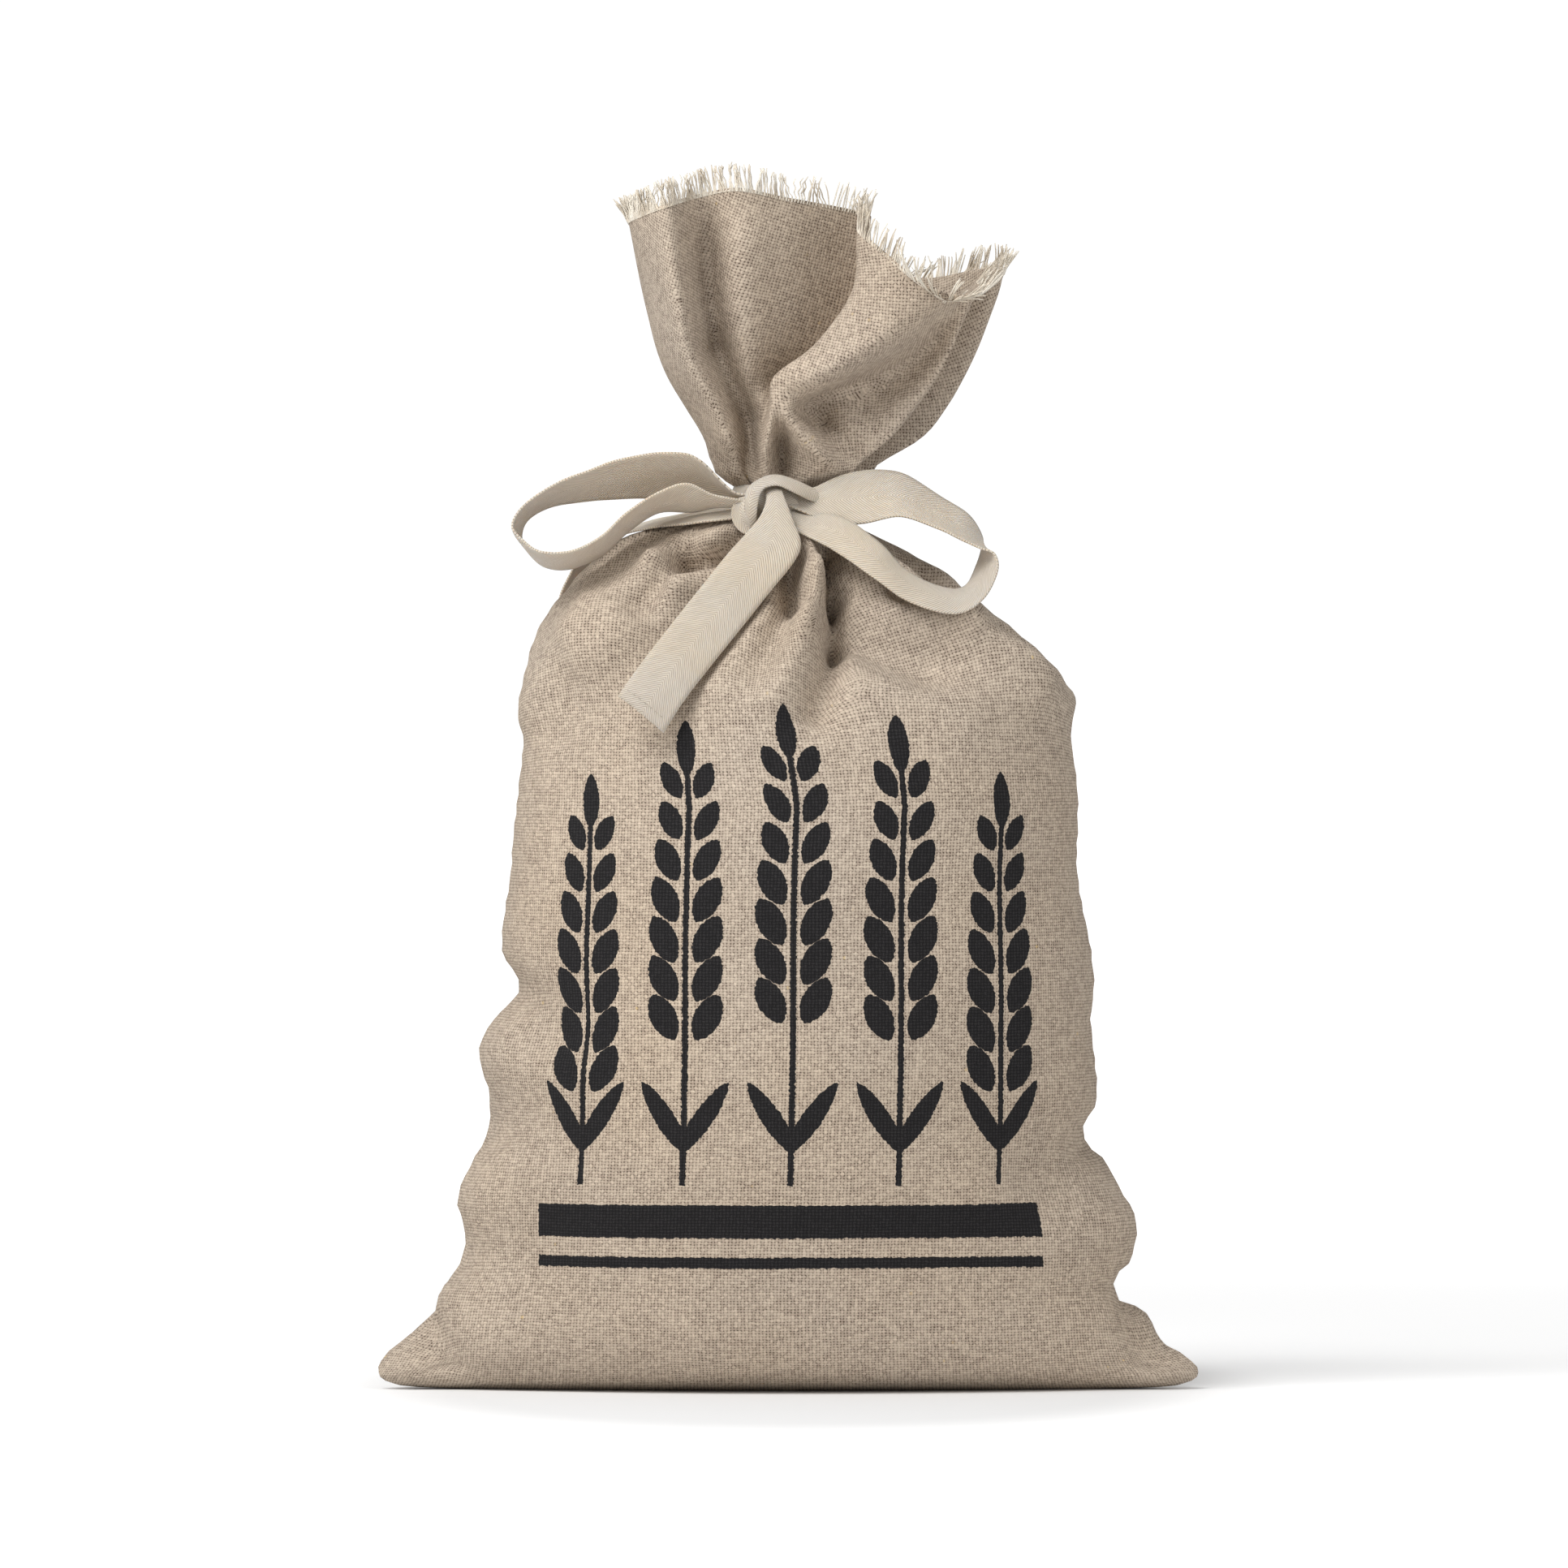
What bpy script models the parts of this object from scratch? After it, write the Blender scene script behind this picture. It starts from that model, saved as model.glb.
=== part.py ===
# A linen bread bag, filled out and standing on its base, its neck tied with a cotton tape in a bow.
# The bag is one thin cloth shell, open at the frayed mouth. The tables are in millimetres, with
# x to the right, y away from the viewer and z up. The origin is the middle of the base.

from collections import namedtuple
from math import pi

import bmesh
import bpy
import numpy as np
from mathutils import Vector

MM = 0.001
NEAR_BY = 0.001
JOIN_DISTANCE = 0.01

# Driving sizes of the cloth
CLOTH_THICKNESS = 1.2
CLOTH_STEPS_AROUND = 60
CLOTH_CROWDING = 0.35
EAR_LIFT = 0.8
EAR_FORWARD = 12.0
EAR_START = 105.0
EAR_RUN = 38.0
EAR_HEIGHT = 24.0
CREASE_SIDE_BLEND = 16.0
CREASE_FOOT_FADE = 8.0
CREASE_NECK_START = 14.0
CREASE_NECK_FADE = 12.0

# Driving sizes of the gathered neck
NECK_MIDDLE_X = -6.0
NECK_FOOT = 313.5
NECK_TOP = 324.0
NECK_RADIUS = 11.0
PLEAT_COUNT = 7
PLEAT_START = 0.07
PLEAT_DEPTH = 2.0
PLEAT_FADE_FROM = 292.0

# The mouth's low and middle levels, and their shares of the way from neck to rim
MOUTH_LOW = 338.0
MOUTH_MIDDLE = 360.0
MOUTH_SHARES = (0.0, 0.17, 0.42, 1.0)
MOUTH_ROWS = (0.08, 0.17, 0.29, 0.42, 0.58, 0.78, 1.0)

# The frayed edge, and the share of the mouth whose slope it goes on with
EDGE_SLOPE_FROM = 0.96
FRINGE_GAP = 0.3
FRINGE_BAND = 1.8
FRINGE_BAND_THICKNESS = 1.0
FRINGE_LENGTH = 9.0
FRINGE_STRANDS = 116
FRINGE_SEED = 7
THREAD_SHORTEST = 0.78
THREAD_LONGEST = 1.05
THREAD_LEAN = 0.16
THREAD_BEND = 0.08
THREAD_LEAN_GROWTH = 1.5
THREAD_LENGTHS = ((0.45, 0.85), (0.55, 0.6))

# The tape
TAPE_THICKNESS = 0.9
TAPE_STEPS_ACROSS = 2
TAPE_CUP = 0.8
TAPE_STEPS_PER_ROW = 2
WRAP_INNER_RADIUS = 13.5
WRAP_THICKNESS = 1.2
WRAP_FOOT = 314.6
WRAP_TOP = 323.4
WRAP_BULGE = 0.6
WRAP_STEPS = 32

# The knot: half sizes, middle and the steps round it
KNOT_HALF = (12.0, 6.4, 8.0)
KNOT_MIDDLE = (-5.5, -20.6, 317.6)
KNOT_STEPS = (16, 10)

Section = namedtuple("Section", "height left right front back point")
Crease = namedtuple("Crease", "side x0 z0 width0 x1 z1 width1 height")
MouthFold = namedtuple("MouthFold", "place low_x low_y mid_x mid_y rim_x rim_y rim_z")
TapeRow = namedtuple("TapeRow", "x0 y0 z0 x1 y1 z1")

# Level sections of the standing bag. Point is 1 for a round end and more for a pointed one.
SECTIONS = (
    Section(0.5, -138, 138, 27, 27, 1.60),
    Section(2, -143, 143, 37, 36, 1.60),
    Section(5.5, -146, 146, 46, 45, 1.55),
    Section(11, -144, 142, 54, 53, 1.50),
    Section(18, -137, 134, 58, 57, 1.38),
    Section(27, -131, 129, 61, 60, 1.25),
    Section(36, -125, 120, 63, 62, 1.17),
    Section(45, -118, 122, 65, 64, 1.12),
    Section(56, -116, 123, 67, 66, 1.08),
    Section(67, -118, 120, 69, 68, 1.05),
    Section(79, -114, 115, 71, 70, 1.02),
    Section(91, -108, 109, 72, 71, 1.00),
    Section(103, -107, 110, 73, 72, 0.98),
    Section(119, -109, 109, 74, 73, 0.97),
    Section(132, -105, 108, 74, 74, 0.96),
    Section(143, -100, 109, 74, 74, 0.96),
    Section(155, -102, 108, 74, 74, 0.96),
    Section(186, -99, 103, 73, 73, 0.96),
    Section(216, -96, 103, 69, 70, 0.96),
    Section(234, -94, 102, 65, 67, 0.97),
    Section(246, -94, 104, 60, 62, 0.98),
    Section(257, -93, 98, 54, 56, 1.00),
    Section(266, -91, 89, 48, 50, 1.00),
    Section(275, -87, 79, 42, 44, 1.00),
    Section(284, -80, 68, 36, 37, 1.00),
    Section(292, -73, 54, 30, 31, 1.00),
    Section(299, -65, 40, 25, 25, 1.00),
    Section(305, -53, 27, 20, 20, 1.00),
    Section(310, -31, 14, 16, 16, 1.00),
    Section(NECK_FOOT, -17, 5, 11, 11, 1.00),
    Section(NECK_TOP, -17, 5, 11, 11, 1.00),
)

# The flat base inside the lowest section: share of its length and of its depth
BASE_ROWS = ((0.86, 0.0), (0.91, 0.45), (0.955, 0.85))

# Soft ridges (height above 0) and troughs (below 0), from one end to the other as seen from the front
CREASES = (
    # Ears of the base and the tucks above them
    Crease("front", -131, 27, 5, -122, 6, 8, -6.0),
    Crease("front", 121, 37, 5, 128, 14, 9, -4.5),
    Crease("front", -126, 50, 8, -96, 40, 16, -2.5),
    Crease("front", 121, 60, 9, 96, 48, 16, 2.5),
    Crease("front", 110, 91, 6, 92, 74, 15, -4.5),
    Crease("front", -109, 91, 8, -90, 100, 14, -2.5),
    Crease("front", -101, 144, 6, -84, 128, 14, -4.5),
    Crease("front", -104, 122, 9, -84, 112, 14, 2.5),
    # Folds that run down from the neck
    Crease("front", 7, 298, 5, 11, 276, 7, 7.0),
    Crease("front", 11, 274, 7, -3, 240, 12, 5.5),
    Crease("front", -1, 296, 5, -2, 256, 9, -6.0),
    Crease("front", 19, 292, 5, 18, 252, 9, -6.5),
    Crease("front", 24, 296, 5, 52, 274, 12, 4.0),
    Crease("front", 32, 270, 10, 44, 256, 15, -5.0),
    Crease("front", 48, 284, 6, 96, 252, 8, 3.0),
    Crease("front", -20, 301, 5, -62, 273, 10, 5.0),
    Crease("front", -24, 293, 5, -44, 282, 8, -6.0),
    Crease("front", -60, 284, 7, -88, 236, 9, 2.5),
    Crease("front", -34, 268, 10, -22, 250, 14, -2.0),
    Crease("back", 20, 298, 5, 55, 262, 13, 4.0),
    Crease("back", 2, 300, 4, 8, 248, 12, 4.5),
    Crease("back", 10, 292, 4, 28, 256, 11, -4.0),
    Crease("back", -16, 302, 4, -30, 254, 12, 4.0),
    Crease("back", -8, 294, 4, -12, 258, 10, -4.0),
    Crease("back", -34, 300, 5, -70, 262, 11, 3.5),
    Crease("back", -30, 292, 5, -50, 262, 10, -3.5),
    Crease("back", 104, 236, 8, 78, 214, 16, -3.0),
    Crease("back", -101, 144, 8, -76, 126, 15, -4.0),
    Crease("back", 110, 92, 8, 84, 80, 15, -4.0),
    Crease("back", -128, 32, 6, -108, 20, 11, -4.5),
    Crease("back", 122, 37, 6, 106, 24, 11, -4.5),
)

# Fold lines of the flared mouth, from the left tip along the front to the right tip and back
MOUTH_FOLDS = (
    MouthFold(0.000, -30, 0, -44, 0, -57, -6, 417),
    MouthFold(0.070, -23, -19, -36, -24, -46, -34, 421),
    MouthFold(0.130, -15, -11, -25, -15, -33, -28, 425),
    MouthFold(0.190, -10, -15, -14, -12, -18, -24, 428),
    MouthFold(0.235, -6, -18, -4, -11, -3, -18, 426),
    MouthFold(0.275, -3, -13, 3, -10, 12, -12, 422),
    MouthFold(0.310, -1, -14, 5, -15, 21, -16, 416),
    MouthFold(0.345, 2, -20, 9, -27, 27, -33, 409),
    MouthFold(0.380, 8, -22, 16, -34, 38, -44, 400),
    MouthFold(0.415, 14, -14, 26, -27, 51, -46, 392),
    MouthFold(0.445, 24, -12, 38, -20, 61, -38, 389),
    MouthFold(0.475, 35, -11, 51, -16, 70, -24, 393),
    MouthFold(0.500, 43, -5, 59, -6, 76, -5, 398),
    MouthFold(0.550, 45, 8, 57, 14, 70, 18, 400),
    MouthFold(0.620, 30, 20, 40, 30, 48, 42, 397),
    MouthFold(0.690, 14, 15, 18, 26, 22, 36, 404),
    MouthFold(0.760, 0, 22, -2, 36, -4, 50, 411),
    MouthFold(0.830, -12, 15, -20, 24, -27, 33, 414),
    MouthFold(0.910, -24, 15, -36, 24, -48, 34, 416),
)

# The bow's strips, from the knot outwards: their back or left edge, then their front or right edge
LEFT_LOOP = (
    TapeRow(-10, -17, 315, -10, -20, 320),
    TapeRow(-19, -17, 315, -19, -21, 319),
    TapeRow(-31, -12, 317, -31, -25, 330),
    TapeRow(-41, -11, 317, -40, -27, 333),
    TapeRow(-56, -11, 317, -56, -28, 333),
    TapeRow(-72, -11, 317, -71, -29, 330),
    TapeRow(-86, -11, 315, -86, -30, 324),
    TapeRow(-93, -11, 311, -95, -30, 316),
    TapeRow(-95, -11, 306, -98, -30, 308),
    TapeRow(-94, -11, 300, -94, -30, 302),
    TapeRow(-87, -12, 293, -88, -31, 298),
    TapeRow(-77, -13, 292, -78, -32, 298),
    TapeRow(-66, -15, 297, -67, -32, 303),
    TapeRow(-56, -15, 306, -57, -32, 312),
    TapeRow(-46, -15, 312, -46, -30, 319),
    TapeRow(-34, -15, 312, -36, -28, 322),
    TapeRow(-25, -17, 314, -26, -25, 318),
    TapeRow(-15, -18, 313, -15, -22, 316),
)
RIGHT_LOOP = (
    TapeRow(-2, -17, 321, -2, -22, 315),
    TapeRow(7, -17, 320, 5, -23, 312),
    TapeRow(19, -14, 325, 16, -25, 308),
    TapeRow(30, -13, 327, 27, -26, 308),
    TapeRow(42, -13, 327, 41, -27, 311),
    TapeRow(55, -13, 319, 55, -29, 307),
    TapeRow(65, -14, 314, 63, -31, 303),
    TapeRow(69, -14, 306, 69, -32, 300),
    TapeRow(69, -15, 300, 73, -33, 297),
    TapeRow(67, -17, 293, 74, -35, 291),
    TapeRow(63, -24, 286, 69, -40, 281),
    TapeRow(55, -31, 285, 59, -44, 276),
    TapeRow(42, -34, 291, 43, -46, 280),
    TapeRow(31, -33, 302, 28, -44, 290),
    TapeRow(19, -26, 310, 15, -37, 299),
    TapeRow(7, -20, 312, 5, -31, 304),
    TapeRow(-1, -17, 315, -3, -23, 308),
)
FRONT_TAIL = (
    TapeRow(-9, -15, 322, -3, -14.5, 323),
    TapeRow(-9, -18, 325.5, -2, -17.5, 326.5),
    TapeRow(-7, -24, 324, -2, -24, 325),
    TapeRow(-6, -27.5, 318, -1, -27.5, 318.5),
    TapeRow(-9, -30.5, 311, 1, -31, 310),
    TapeRow(-16, -35, 303, 4, -37, 298),
    TapeRow(-24, -40, 294, -7, -42, 283),
    TapeRow(-43, -54, 270, -27, -55, 258),
    TapeRow(-53, -61, 257, -37, -62, 245),
    TapeRow(-60, -66, 247, -44, -67, 234),
)
BACK_TAIL = (
    TapeRow(-12, -15.5, 316, -12, -20, 313),
    TapeRow(-20, -9, 315.5, -20, -21, 313.5),
    TapeRow(-34, -2, 314, -33, -20, 312),
    TapeRow(-48, 8, 311, -48, -11, 310),
    TapeRow(-59, 20, 307, -62, 2, 305),
    TapeRow(-66, 33, 298, -75, 16, 295),
    TapeRow(-68, 45, 282, -83, 31, 278),
    TapeRow(-67, 57, 262, -85, 46, 259),
    TapeRow(-66, 65, 242, -84, 56, 239),
)


def clear_scene():
    for old in list(bpy.data.objects):
        bpy.data.objects.remove(old)


def fabric(name, colour, roughness):
    material = bpy.data.materials.new(name)
    material.use_nodes = True
    shader = material.node_tree.nodes["Principled BSDF"]
    shader.inputs["Base Color"].default_value = (*colour, 1.0)
    shader.inputs["Roughness"].default_value = roughness
    shader.inputs["Metallic"].default_value = 0.0
    return material


def place(name, bm, material):
    """Makes an object of a bmesh whose points are in millimetres."""
    bmesh.ops.scale(bm, vec=(MM, MM, MM), verts=bm.verts)
    mesh = bpy.data.meshes.new(name)
    bm.to_mesh(mesh)
    bm.free()
    mesh.shade_smooth()
    mesh.materials.append(material)
    made = bpy.data.objects.new(name, mesh)
    bpy.context.scene.collection.objects.link(made)
    return made


def thicken(made, thickness, offset):
    modifier = made.modifiers.new("Thickness", "SOLIDIFY")
    modifier.thickness = thickness * MM
    modifier.offset = offset
    modifier.use_even_offset = False
    modifier.use_rim = True


def through(knots, values, at):
    """A smooth curve through the rows of values, read at the places asked for."""
    knots, values = np.asarray(knots, float), np.asarray(values, float)
    slopes = np.gradient(values, knots, axis=0)
    low = np.clip(np.searchsorted(knots, at, side="right") - 1, 0, len(knots) - 2)
    span = knots[low + 1] - knots[low]
    t = (at - knots[low]) / span
    shape = t.shape + (1,) * (values.ndim - 1)
    t, span = t.reshape(shape), span.reshape(shape)
    return (
        (1 + 2 * t) * (1 - t) ** 2 * values[low]
        + t * (1 - t) ** 2 * span * slopes[low]
        + t * t * (3 - 2 * t) * values[low + 1]
        + t * t * (t - 1) * span * slopes[low + 1]
    )


def around(folds, place_at):
    """The mouth's fold table as a closed smooth curve: low x, low y, mid x, mid y, rim x, y, z."""
    rows = np.array(folds, float)
    wrapped = np.concatenate([rows[-3:], rows, rows[:3]])
    wrapped[:3, 0] -= 1.0
    wrapped[-3:, 0] += 1.0
    return through(wrapped[:, 0], wrapped[:, 1:], place_at)


def places_around(steps):
    """Places round the cloth, closer together in the middle of the front and of the back."""
    even = np.arange(steps) / steps
    return even + CLOTH_CROWDING * np.sin(4 * pi * even) / (4 * pi)


def soft_step(value):
    value = np.clip(value, 0.0, 1.0)
    return value * value * (3 - 2 * value)


def pleats(place_at, height):
    """How far the gathers of the neck stand out, fading into the shoulder."""
    depth = PLEAT_DEPTH * soft_step((height - PLEAT_FADE_FROM) / (NECK_FOOT - PLEAT_FADE_FROM))
    return depth * np.cos(2 * pi * PLEAT_COUNT * (place_at - PLEAT_START))


def ear_share(x, height):
    """How much a place belongs to the tips of the base, from 0 to 1."""
    return soft_step((np.abs(x) - EAR_START) / EAR_RUN) * (1 - soft_step(height / EAR_HEIGHT))


def plain_wall(place_at, height):
    """The bag's outer face without its creases. Place runs from 0 at the left seam to 0.5 at the right."""
    rows = np.array(SECTIONS, float)
    left, right, front, back, point = np.moveaxis(through(rows[:, 0], rows[:, 1:], height), -1, 0)
    turn = 2 * pi * place_at
    out = pleats(place_at, height)
    toward = np.sin(turn)
    x = (left + right) / 2 - ((right - left) / 2 + out) * np.cos(turn)
    depth = np.where(toward > 0, front, back) + out
    y = -np.sign(toward) * np.abs(toward) ** point * depth
    ears = ear_share(x, height)
    return np.stack([x, y - EAR_FORWARD * ears, height + EAR_LIFT * ears], -1)


def crease_height(points):
    """The sum of the ridges and troughs at points on the wall."""
    total = np.zeros(points.shape[:-1])
    seen = points[..., [0, 2]]
    for crease in CREASES:
        start = np.array([crease.x0, crease.z0])
        run = np.array([crease.x1, crease.z1]) - start
        share = np.clip(((seen - start) @ run) / (run @ run), 0.0, 1.0)
        away = np.linalg.norm(seen - start - share[..., None] * run, axis=-1)
        width = crease.width0 + share * (crease.width1 - crease.width0)
        facing = -1.0 if crease.side == "front" else 1.0
        on_side = soft_step(0.5 + facing * points[..., 1] / CREASE_SIDE_BLEND)
        total += crease.height * np.exp(-((away / width) ** 2)) * on_side
    return total


def wall(place_at, height):
    """The bag's outer face from the lowest section to the top of the neck."""
    points = plain_wall(place_at, height)
    along = plain_wall(place_at + NEAR_BY, height) - plain_wall(place_at - NEAR_BY, height)
    up = plain_wall(place_at, height + NEAR_BY) - plain_wall(place_at, height - NEAR_BY)
    normal = np.cross(along, up)
    normal /= np.maximum(np.linalg.norm(normal, axis=-1, keepdims=True), 1e-12)
    fade_from = NECK_FOOT - CREASE_NECK_START
    held = soft_step((height - SECTIONS[0].height) / CREASE_FOOT_FADE)
    held = held * (1 - soft_step((height - fade_from) / CREASE_NECK_FADE))
    return points + normal * (crease_height(points) * held)[..., None]


def mouth(place_at, share):
    """The flared mouth, from the neck at share 0 to the cloth's edge at share 1."""
    low_x, low_y, mid_x, mid_y, rim_x, rim_y, rim_z = np.moveaxis(around(MOUTH_FOLDS, place_at), -1, 0)
    neck = plain_wall(place_at, np.full(place_at.shape, NECK_TOP))
    low = np.stack([low_x, low_y, np.full(low_x.shape, MOUTH_LOW)], -1)
    middle = np.stack([mid_x, mid_y, np.full(low_x.shape, MOUTH_MIDDLE)], -1)
    rim = np.stack([rim_x, rim_y, rim_z], -1)
    line = np.stack([neck, low, middle, rim])
    return np.stack([through(MOUTH_SHARES, line, np.array([s]))[0] for s in share])


def past_rim(place_at, distance):
    """Points that lie past the cloth's edge, straight on along the cloth."""
    inner, rim = mouth(place_at, (EDGE_SLOPE_FROM, 1.0))
    onward = rim - inner
    onward /= np.linalg.norm(onward, axis=-1, keepdims=True)
    return rim + onward * distance, onward


def base_rows(place_at):
    """The flat underside, from the folded bottom line out to the lowest section."""
    lowest = SECTIONS[0]
    rows = []
    for length_share, depth_share in BASE_ROWS:
        turn = 2 * pi * place_at
        x = lowest.left * length_share * np.cos(turn)
        toward = np.sin(turn)
        y = -np.sign(toward) * np.abs(toward) ** lowest.point * lowest.front * depth_share
        ears = ear_share(x, 0.0)
        rows.append(np.stack([x, y - EAR_FORWARD * ears, EAR_LIFT * ears], -1))
    return rows


def add_rows(bm, rows, closed=True):
    """Skins a list of rows of points with quads, each row closed on itself or open."""
    lines = [[bm.verts.new(point) for point in row] for row in rows]
    count = len(rows[0])
    for lower, upper in zip(lines, lines[1:]):
        for i in range(count if closed else count - 1):
            j = (i + 1) % count
            bm.faces.new((lower[i], lower[j], upper[j], upper[i]))
    return lines


def make_bag(linen):
    """The one-piece cloth shell: folded bottom, filled body, gathered neck and open mouth."""
    place_at = places_around(CLOTH_STEPS_AROUND)
    rows = base_rows(place_at)
    rows += [wall(place_at, np.full(place_at.shape, float(section.height))) for section in SECTIONS]
    rows += list(mouth(place_at, MOUTH_ROWS))
    bm = bmesh.new()
    add_rows(bm, rows)
    bmesh.ops.remove_doubles(bm, verts=bm.verts, dist=JOIN_DISTANCE)
    bag = place("bag", bm, linen)
    thicken(bag, CLOTH_THICKNESS, -1.0)
    return bag


def make_fringe(thread):
    """The frayed edge: a narrow woven band just past the cloth, with its loose threads standing on it."""
    cells = 2 * FRINGE_STRANDS
    place_at = np.arange(cells) / cells
    foot, onward = past_rim(place_at, FRINGE_GAP)
    top = foot + onward * FRINGE_BAND
    along = np.roll(foot, -1, axis=0) - np.roll(foot, 1, axis=0)
    inward = np.cross(onward, along)
    inward *= FRINGE_BAND_THICKNESS / np.linalg.norm(inward, axis=-1, keepdims=True)
    bm = bmesh.new()
    lines = add_rows(bm, [foot, top, top + inward, foot + inward])
    upper = []
    for i in range(cells):
        j = (i + 1) % cells
        upper.append(bm.faces.get((lines[1][i], lines[1][j], lines[2][j], lines[2][i])))
        bm.faces.new((lines[3][i], lines[3][j], lines[0][j], lines[0][i]))
    draw = np.random.default_rng(FRINGE_SEED)
    for i in range(0, cells, 2):
        grow_strand(bm, upper[i], Vector(onward[i]), Vector(along[i]).normalized(), draw)
    bmesh.ops.recalc_face_normals(bm, faces=bm.faces)
    return place("fringe", bm, thread)


def grow_strand(bm, root, onward, along, draw):
    """Extrudes one thread from a face of the band, in two bent lengths that thin out."""
    length = FRINGE_LENGTH * draw.uniform(THREAD_SHORTEST, THREAD_LONGEST)
    lean = along * draw.normal(0.0, THREAD_LEAN)
    for share, thin in THREAD_LENGTHS:
        grown = bmesh.ops.extrude_discrete_faces(bm, faces=[root])["faces"]
        root = grown[0]
        step = (onward + lean).normalized() * (length * share)
        middle = root.calc_center_median()
        for vert in root.verts:
            vert.co = middle + (vert.co - middle) * thin + step
        lean = lean * THREAD_LEAN_GROWTH + along * draw.normal(0.0, THREAD_BEND)


def make_strip(name, rows, cotton):
    """A length of tape between the two edges of a table, a little cupped across."""
    table = np.array(rows, float)
    knots = np.arange(len(table))
    at = np.linspace(0, len(table) - 1, (len(table) - 1) * TAPE_STEPS_PER_ROW + 1)
    edges = through(knots, table, at)
    first, last = edges[:, :3], edges[:, 3:]
    facing = np.cross(np.gradient(first + last, axis=0), last - first)
    facing *= TAPE_CUP / np.linalg.norm(facing, axis=1, keepdims=True)
    strip_rows = []
    for step in range(TAPE_STEPS_ACROSS + 1):
        share = step / TAPE_STEPS_ACROSS
        strip_rows.append(first + (last - first) * share + facing * (4 * share * (1 - share)))
    bm = bmesh.new()
    add_rows(bm, strip_rows, closed=False)
    bmesh.ops.recalc_face_normals(bm, faces=bm.faces)
    strip = place(name, bm, cotton)
    thicken(strip, TAPE_THICKNESS, 0.0)
    return strip


def make_wrap(cotton):
    """The crumpled turn of tape around the gathered neck."""
    turn = 2 * pi * np.arange(WRAP_STEPS) / WRAP_STEPS
    inner, outer = WRAP_INNER_RADIUS, WRAP_INNER_RADIUS + WRAP_THICKNESS
    bulge = (outer + WRAP_BULGE, (WRAP_FOOT + WRAP_TOP) / 2)
    profile = ((inner, WRAP_FOOT), (outer, WRAP_FOOT), bulge, (outer, WRAP_TOP), (inner, WRAP_TOP))
    rows = []
    for radius, height in profile:
        x = NECK_MIDDLE_X + radius * np.cos(turn)
        rows.append(np.stack([x, radius * np.sin(turn), np.full(turn.shape, height)], -1))
    bm = bmesh.new()
    add_rows(bm, rows + [rows[0]])
    bmesh.ops.remove_doubles(bm, verts=bm.verts, dist=JOIN_DISTANCE)
    bmesh.ops.recalc_face_normals(bm, faces=bm.faces)
    return place("wrap_part", bm, cotton)


def make_knot(cotton):
    """The lump of the knot, a rounded block under the band that goes over it."""
    bm = bmesh.new()
    around_steps, up_steps = KNOT_STEPS
    bmesh.ops.create_uvsphere(bm, u_segments=around_steps, v_segments=up_steps, radius=1.0)
    bmesh.ops.scale(bm, vec=KNOT_HALF, verts=bm.verts)
    bmesh.ops.translate(bm, vec=KNOT_MIDDLE, verts=bm.verts)
    return place("tie_tape", bm, cotton)


def join_to(body, parts):
    """Joins helpers to a body and hides them."""
    for part in parts:
        part.hide_render = True
        part.display_type = "WIRE"
        union = body.modifiers.new(part.name, "BOOLEAN")
        union.operation = "UNION"
        union.object = part


def main():
    clear_scene()
    linen = fabric("linen", (0.42, 0.34, 0.27), 0.95)
    thread = fabric("linen_thread", (0.56, 0.48, 0.39), 0.95)
    cotton = fabric("cotton_tape", (0.68, 0.63, 0.55), 0.85)
    make_bag(linen)
    make_fringe(thread)
    knot = make_knot(cotton)
    strips = [
        make_strip("left_loop_part", LEFT_LOOP, cotton),
        make_strip("right_loop_part", RIGHT_LOOP, cotton),
        make_strip("front_tail_part", FRONT_TAIL, cotton),
        make_strip("back_tail_part", BACK_TAIL, cotton),
    ]
    join_to(knot, [make_wrap(cotton), *strips])


main()
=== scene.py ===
from collections import namedtuple
from math import cos, pi, radians, sin

import bmesh
import bpy
import numpy as np
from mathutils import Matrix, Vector, noise


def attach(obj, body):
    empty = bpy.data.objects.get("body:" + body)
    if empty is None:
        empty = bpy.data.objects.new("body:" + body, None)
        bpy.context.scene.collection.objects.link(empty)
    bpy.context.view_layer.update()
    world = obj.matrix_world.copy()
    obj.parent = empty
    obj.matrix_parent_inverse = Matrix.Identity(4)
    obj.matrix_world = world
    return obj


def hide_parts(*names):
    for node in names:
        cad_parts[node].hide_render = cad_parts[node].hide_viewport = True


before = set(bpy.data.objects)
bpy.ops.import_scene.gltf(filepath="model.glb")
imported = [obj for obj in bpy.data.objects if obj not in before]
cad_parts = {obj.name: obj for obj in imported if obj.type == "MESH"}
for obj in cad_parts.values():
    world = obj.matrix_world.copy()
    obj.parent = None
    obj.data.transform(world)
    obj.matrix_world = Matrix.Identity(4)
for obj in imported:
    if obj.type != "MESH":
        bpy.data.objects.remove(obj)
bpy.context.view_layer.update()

mm = 0.001  # the tables are in millimetres, the meshes in metres

Section = namedtuple("Section", "height left right front back point")
Crease = namedtuple("Crease", "side x0 z0 width0 x1 z1 width1 height")


# small helpers

def smooth(value):
    value = np.clip(value, 0.0, 1.0)
    return value * value * (3 - 2 * value)


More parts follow.
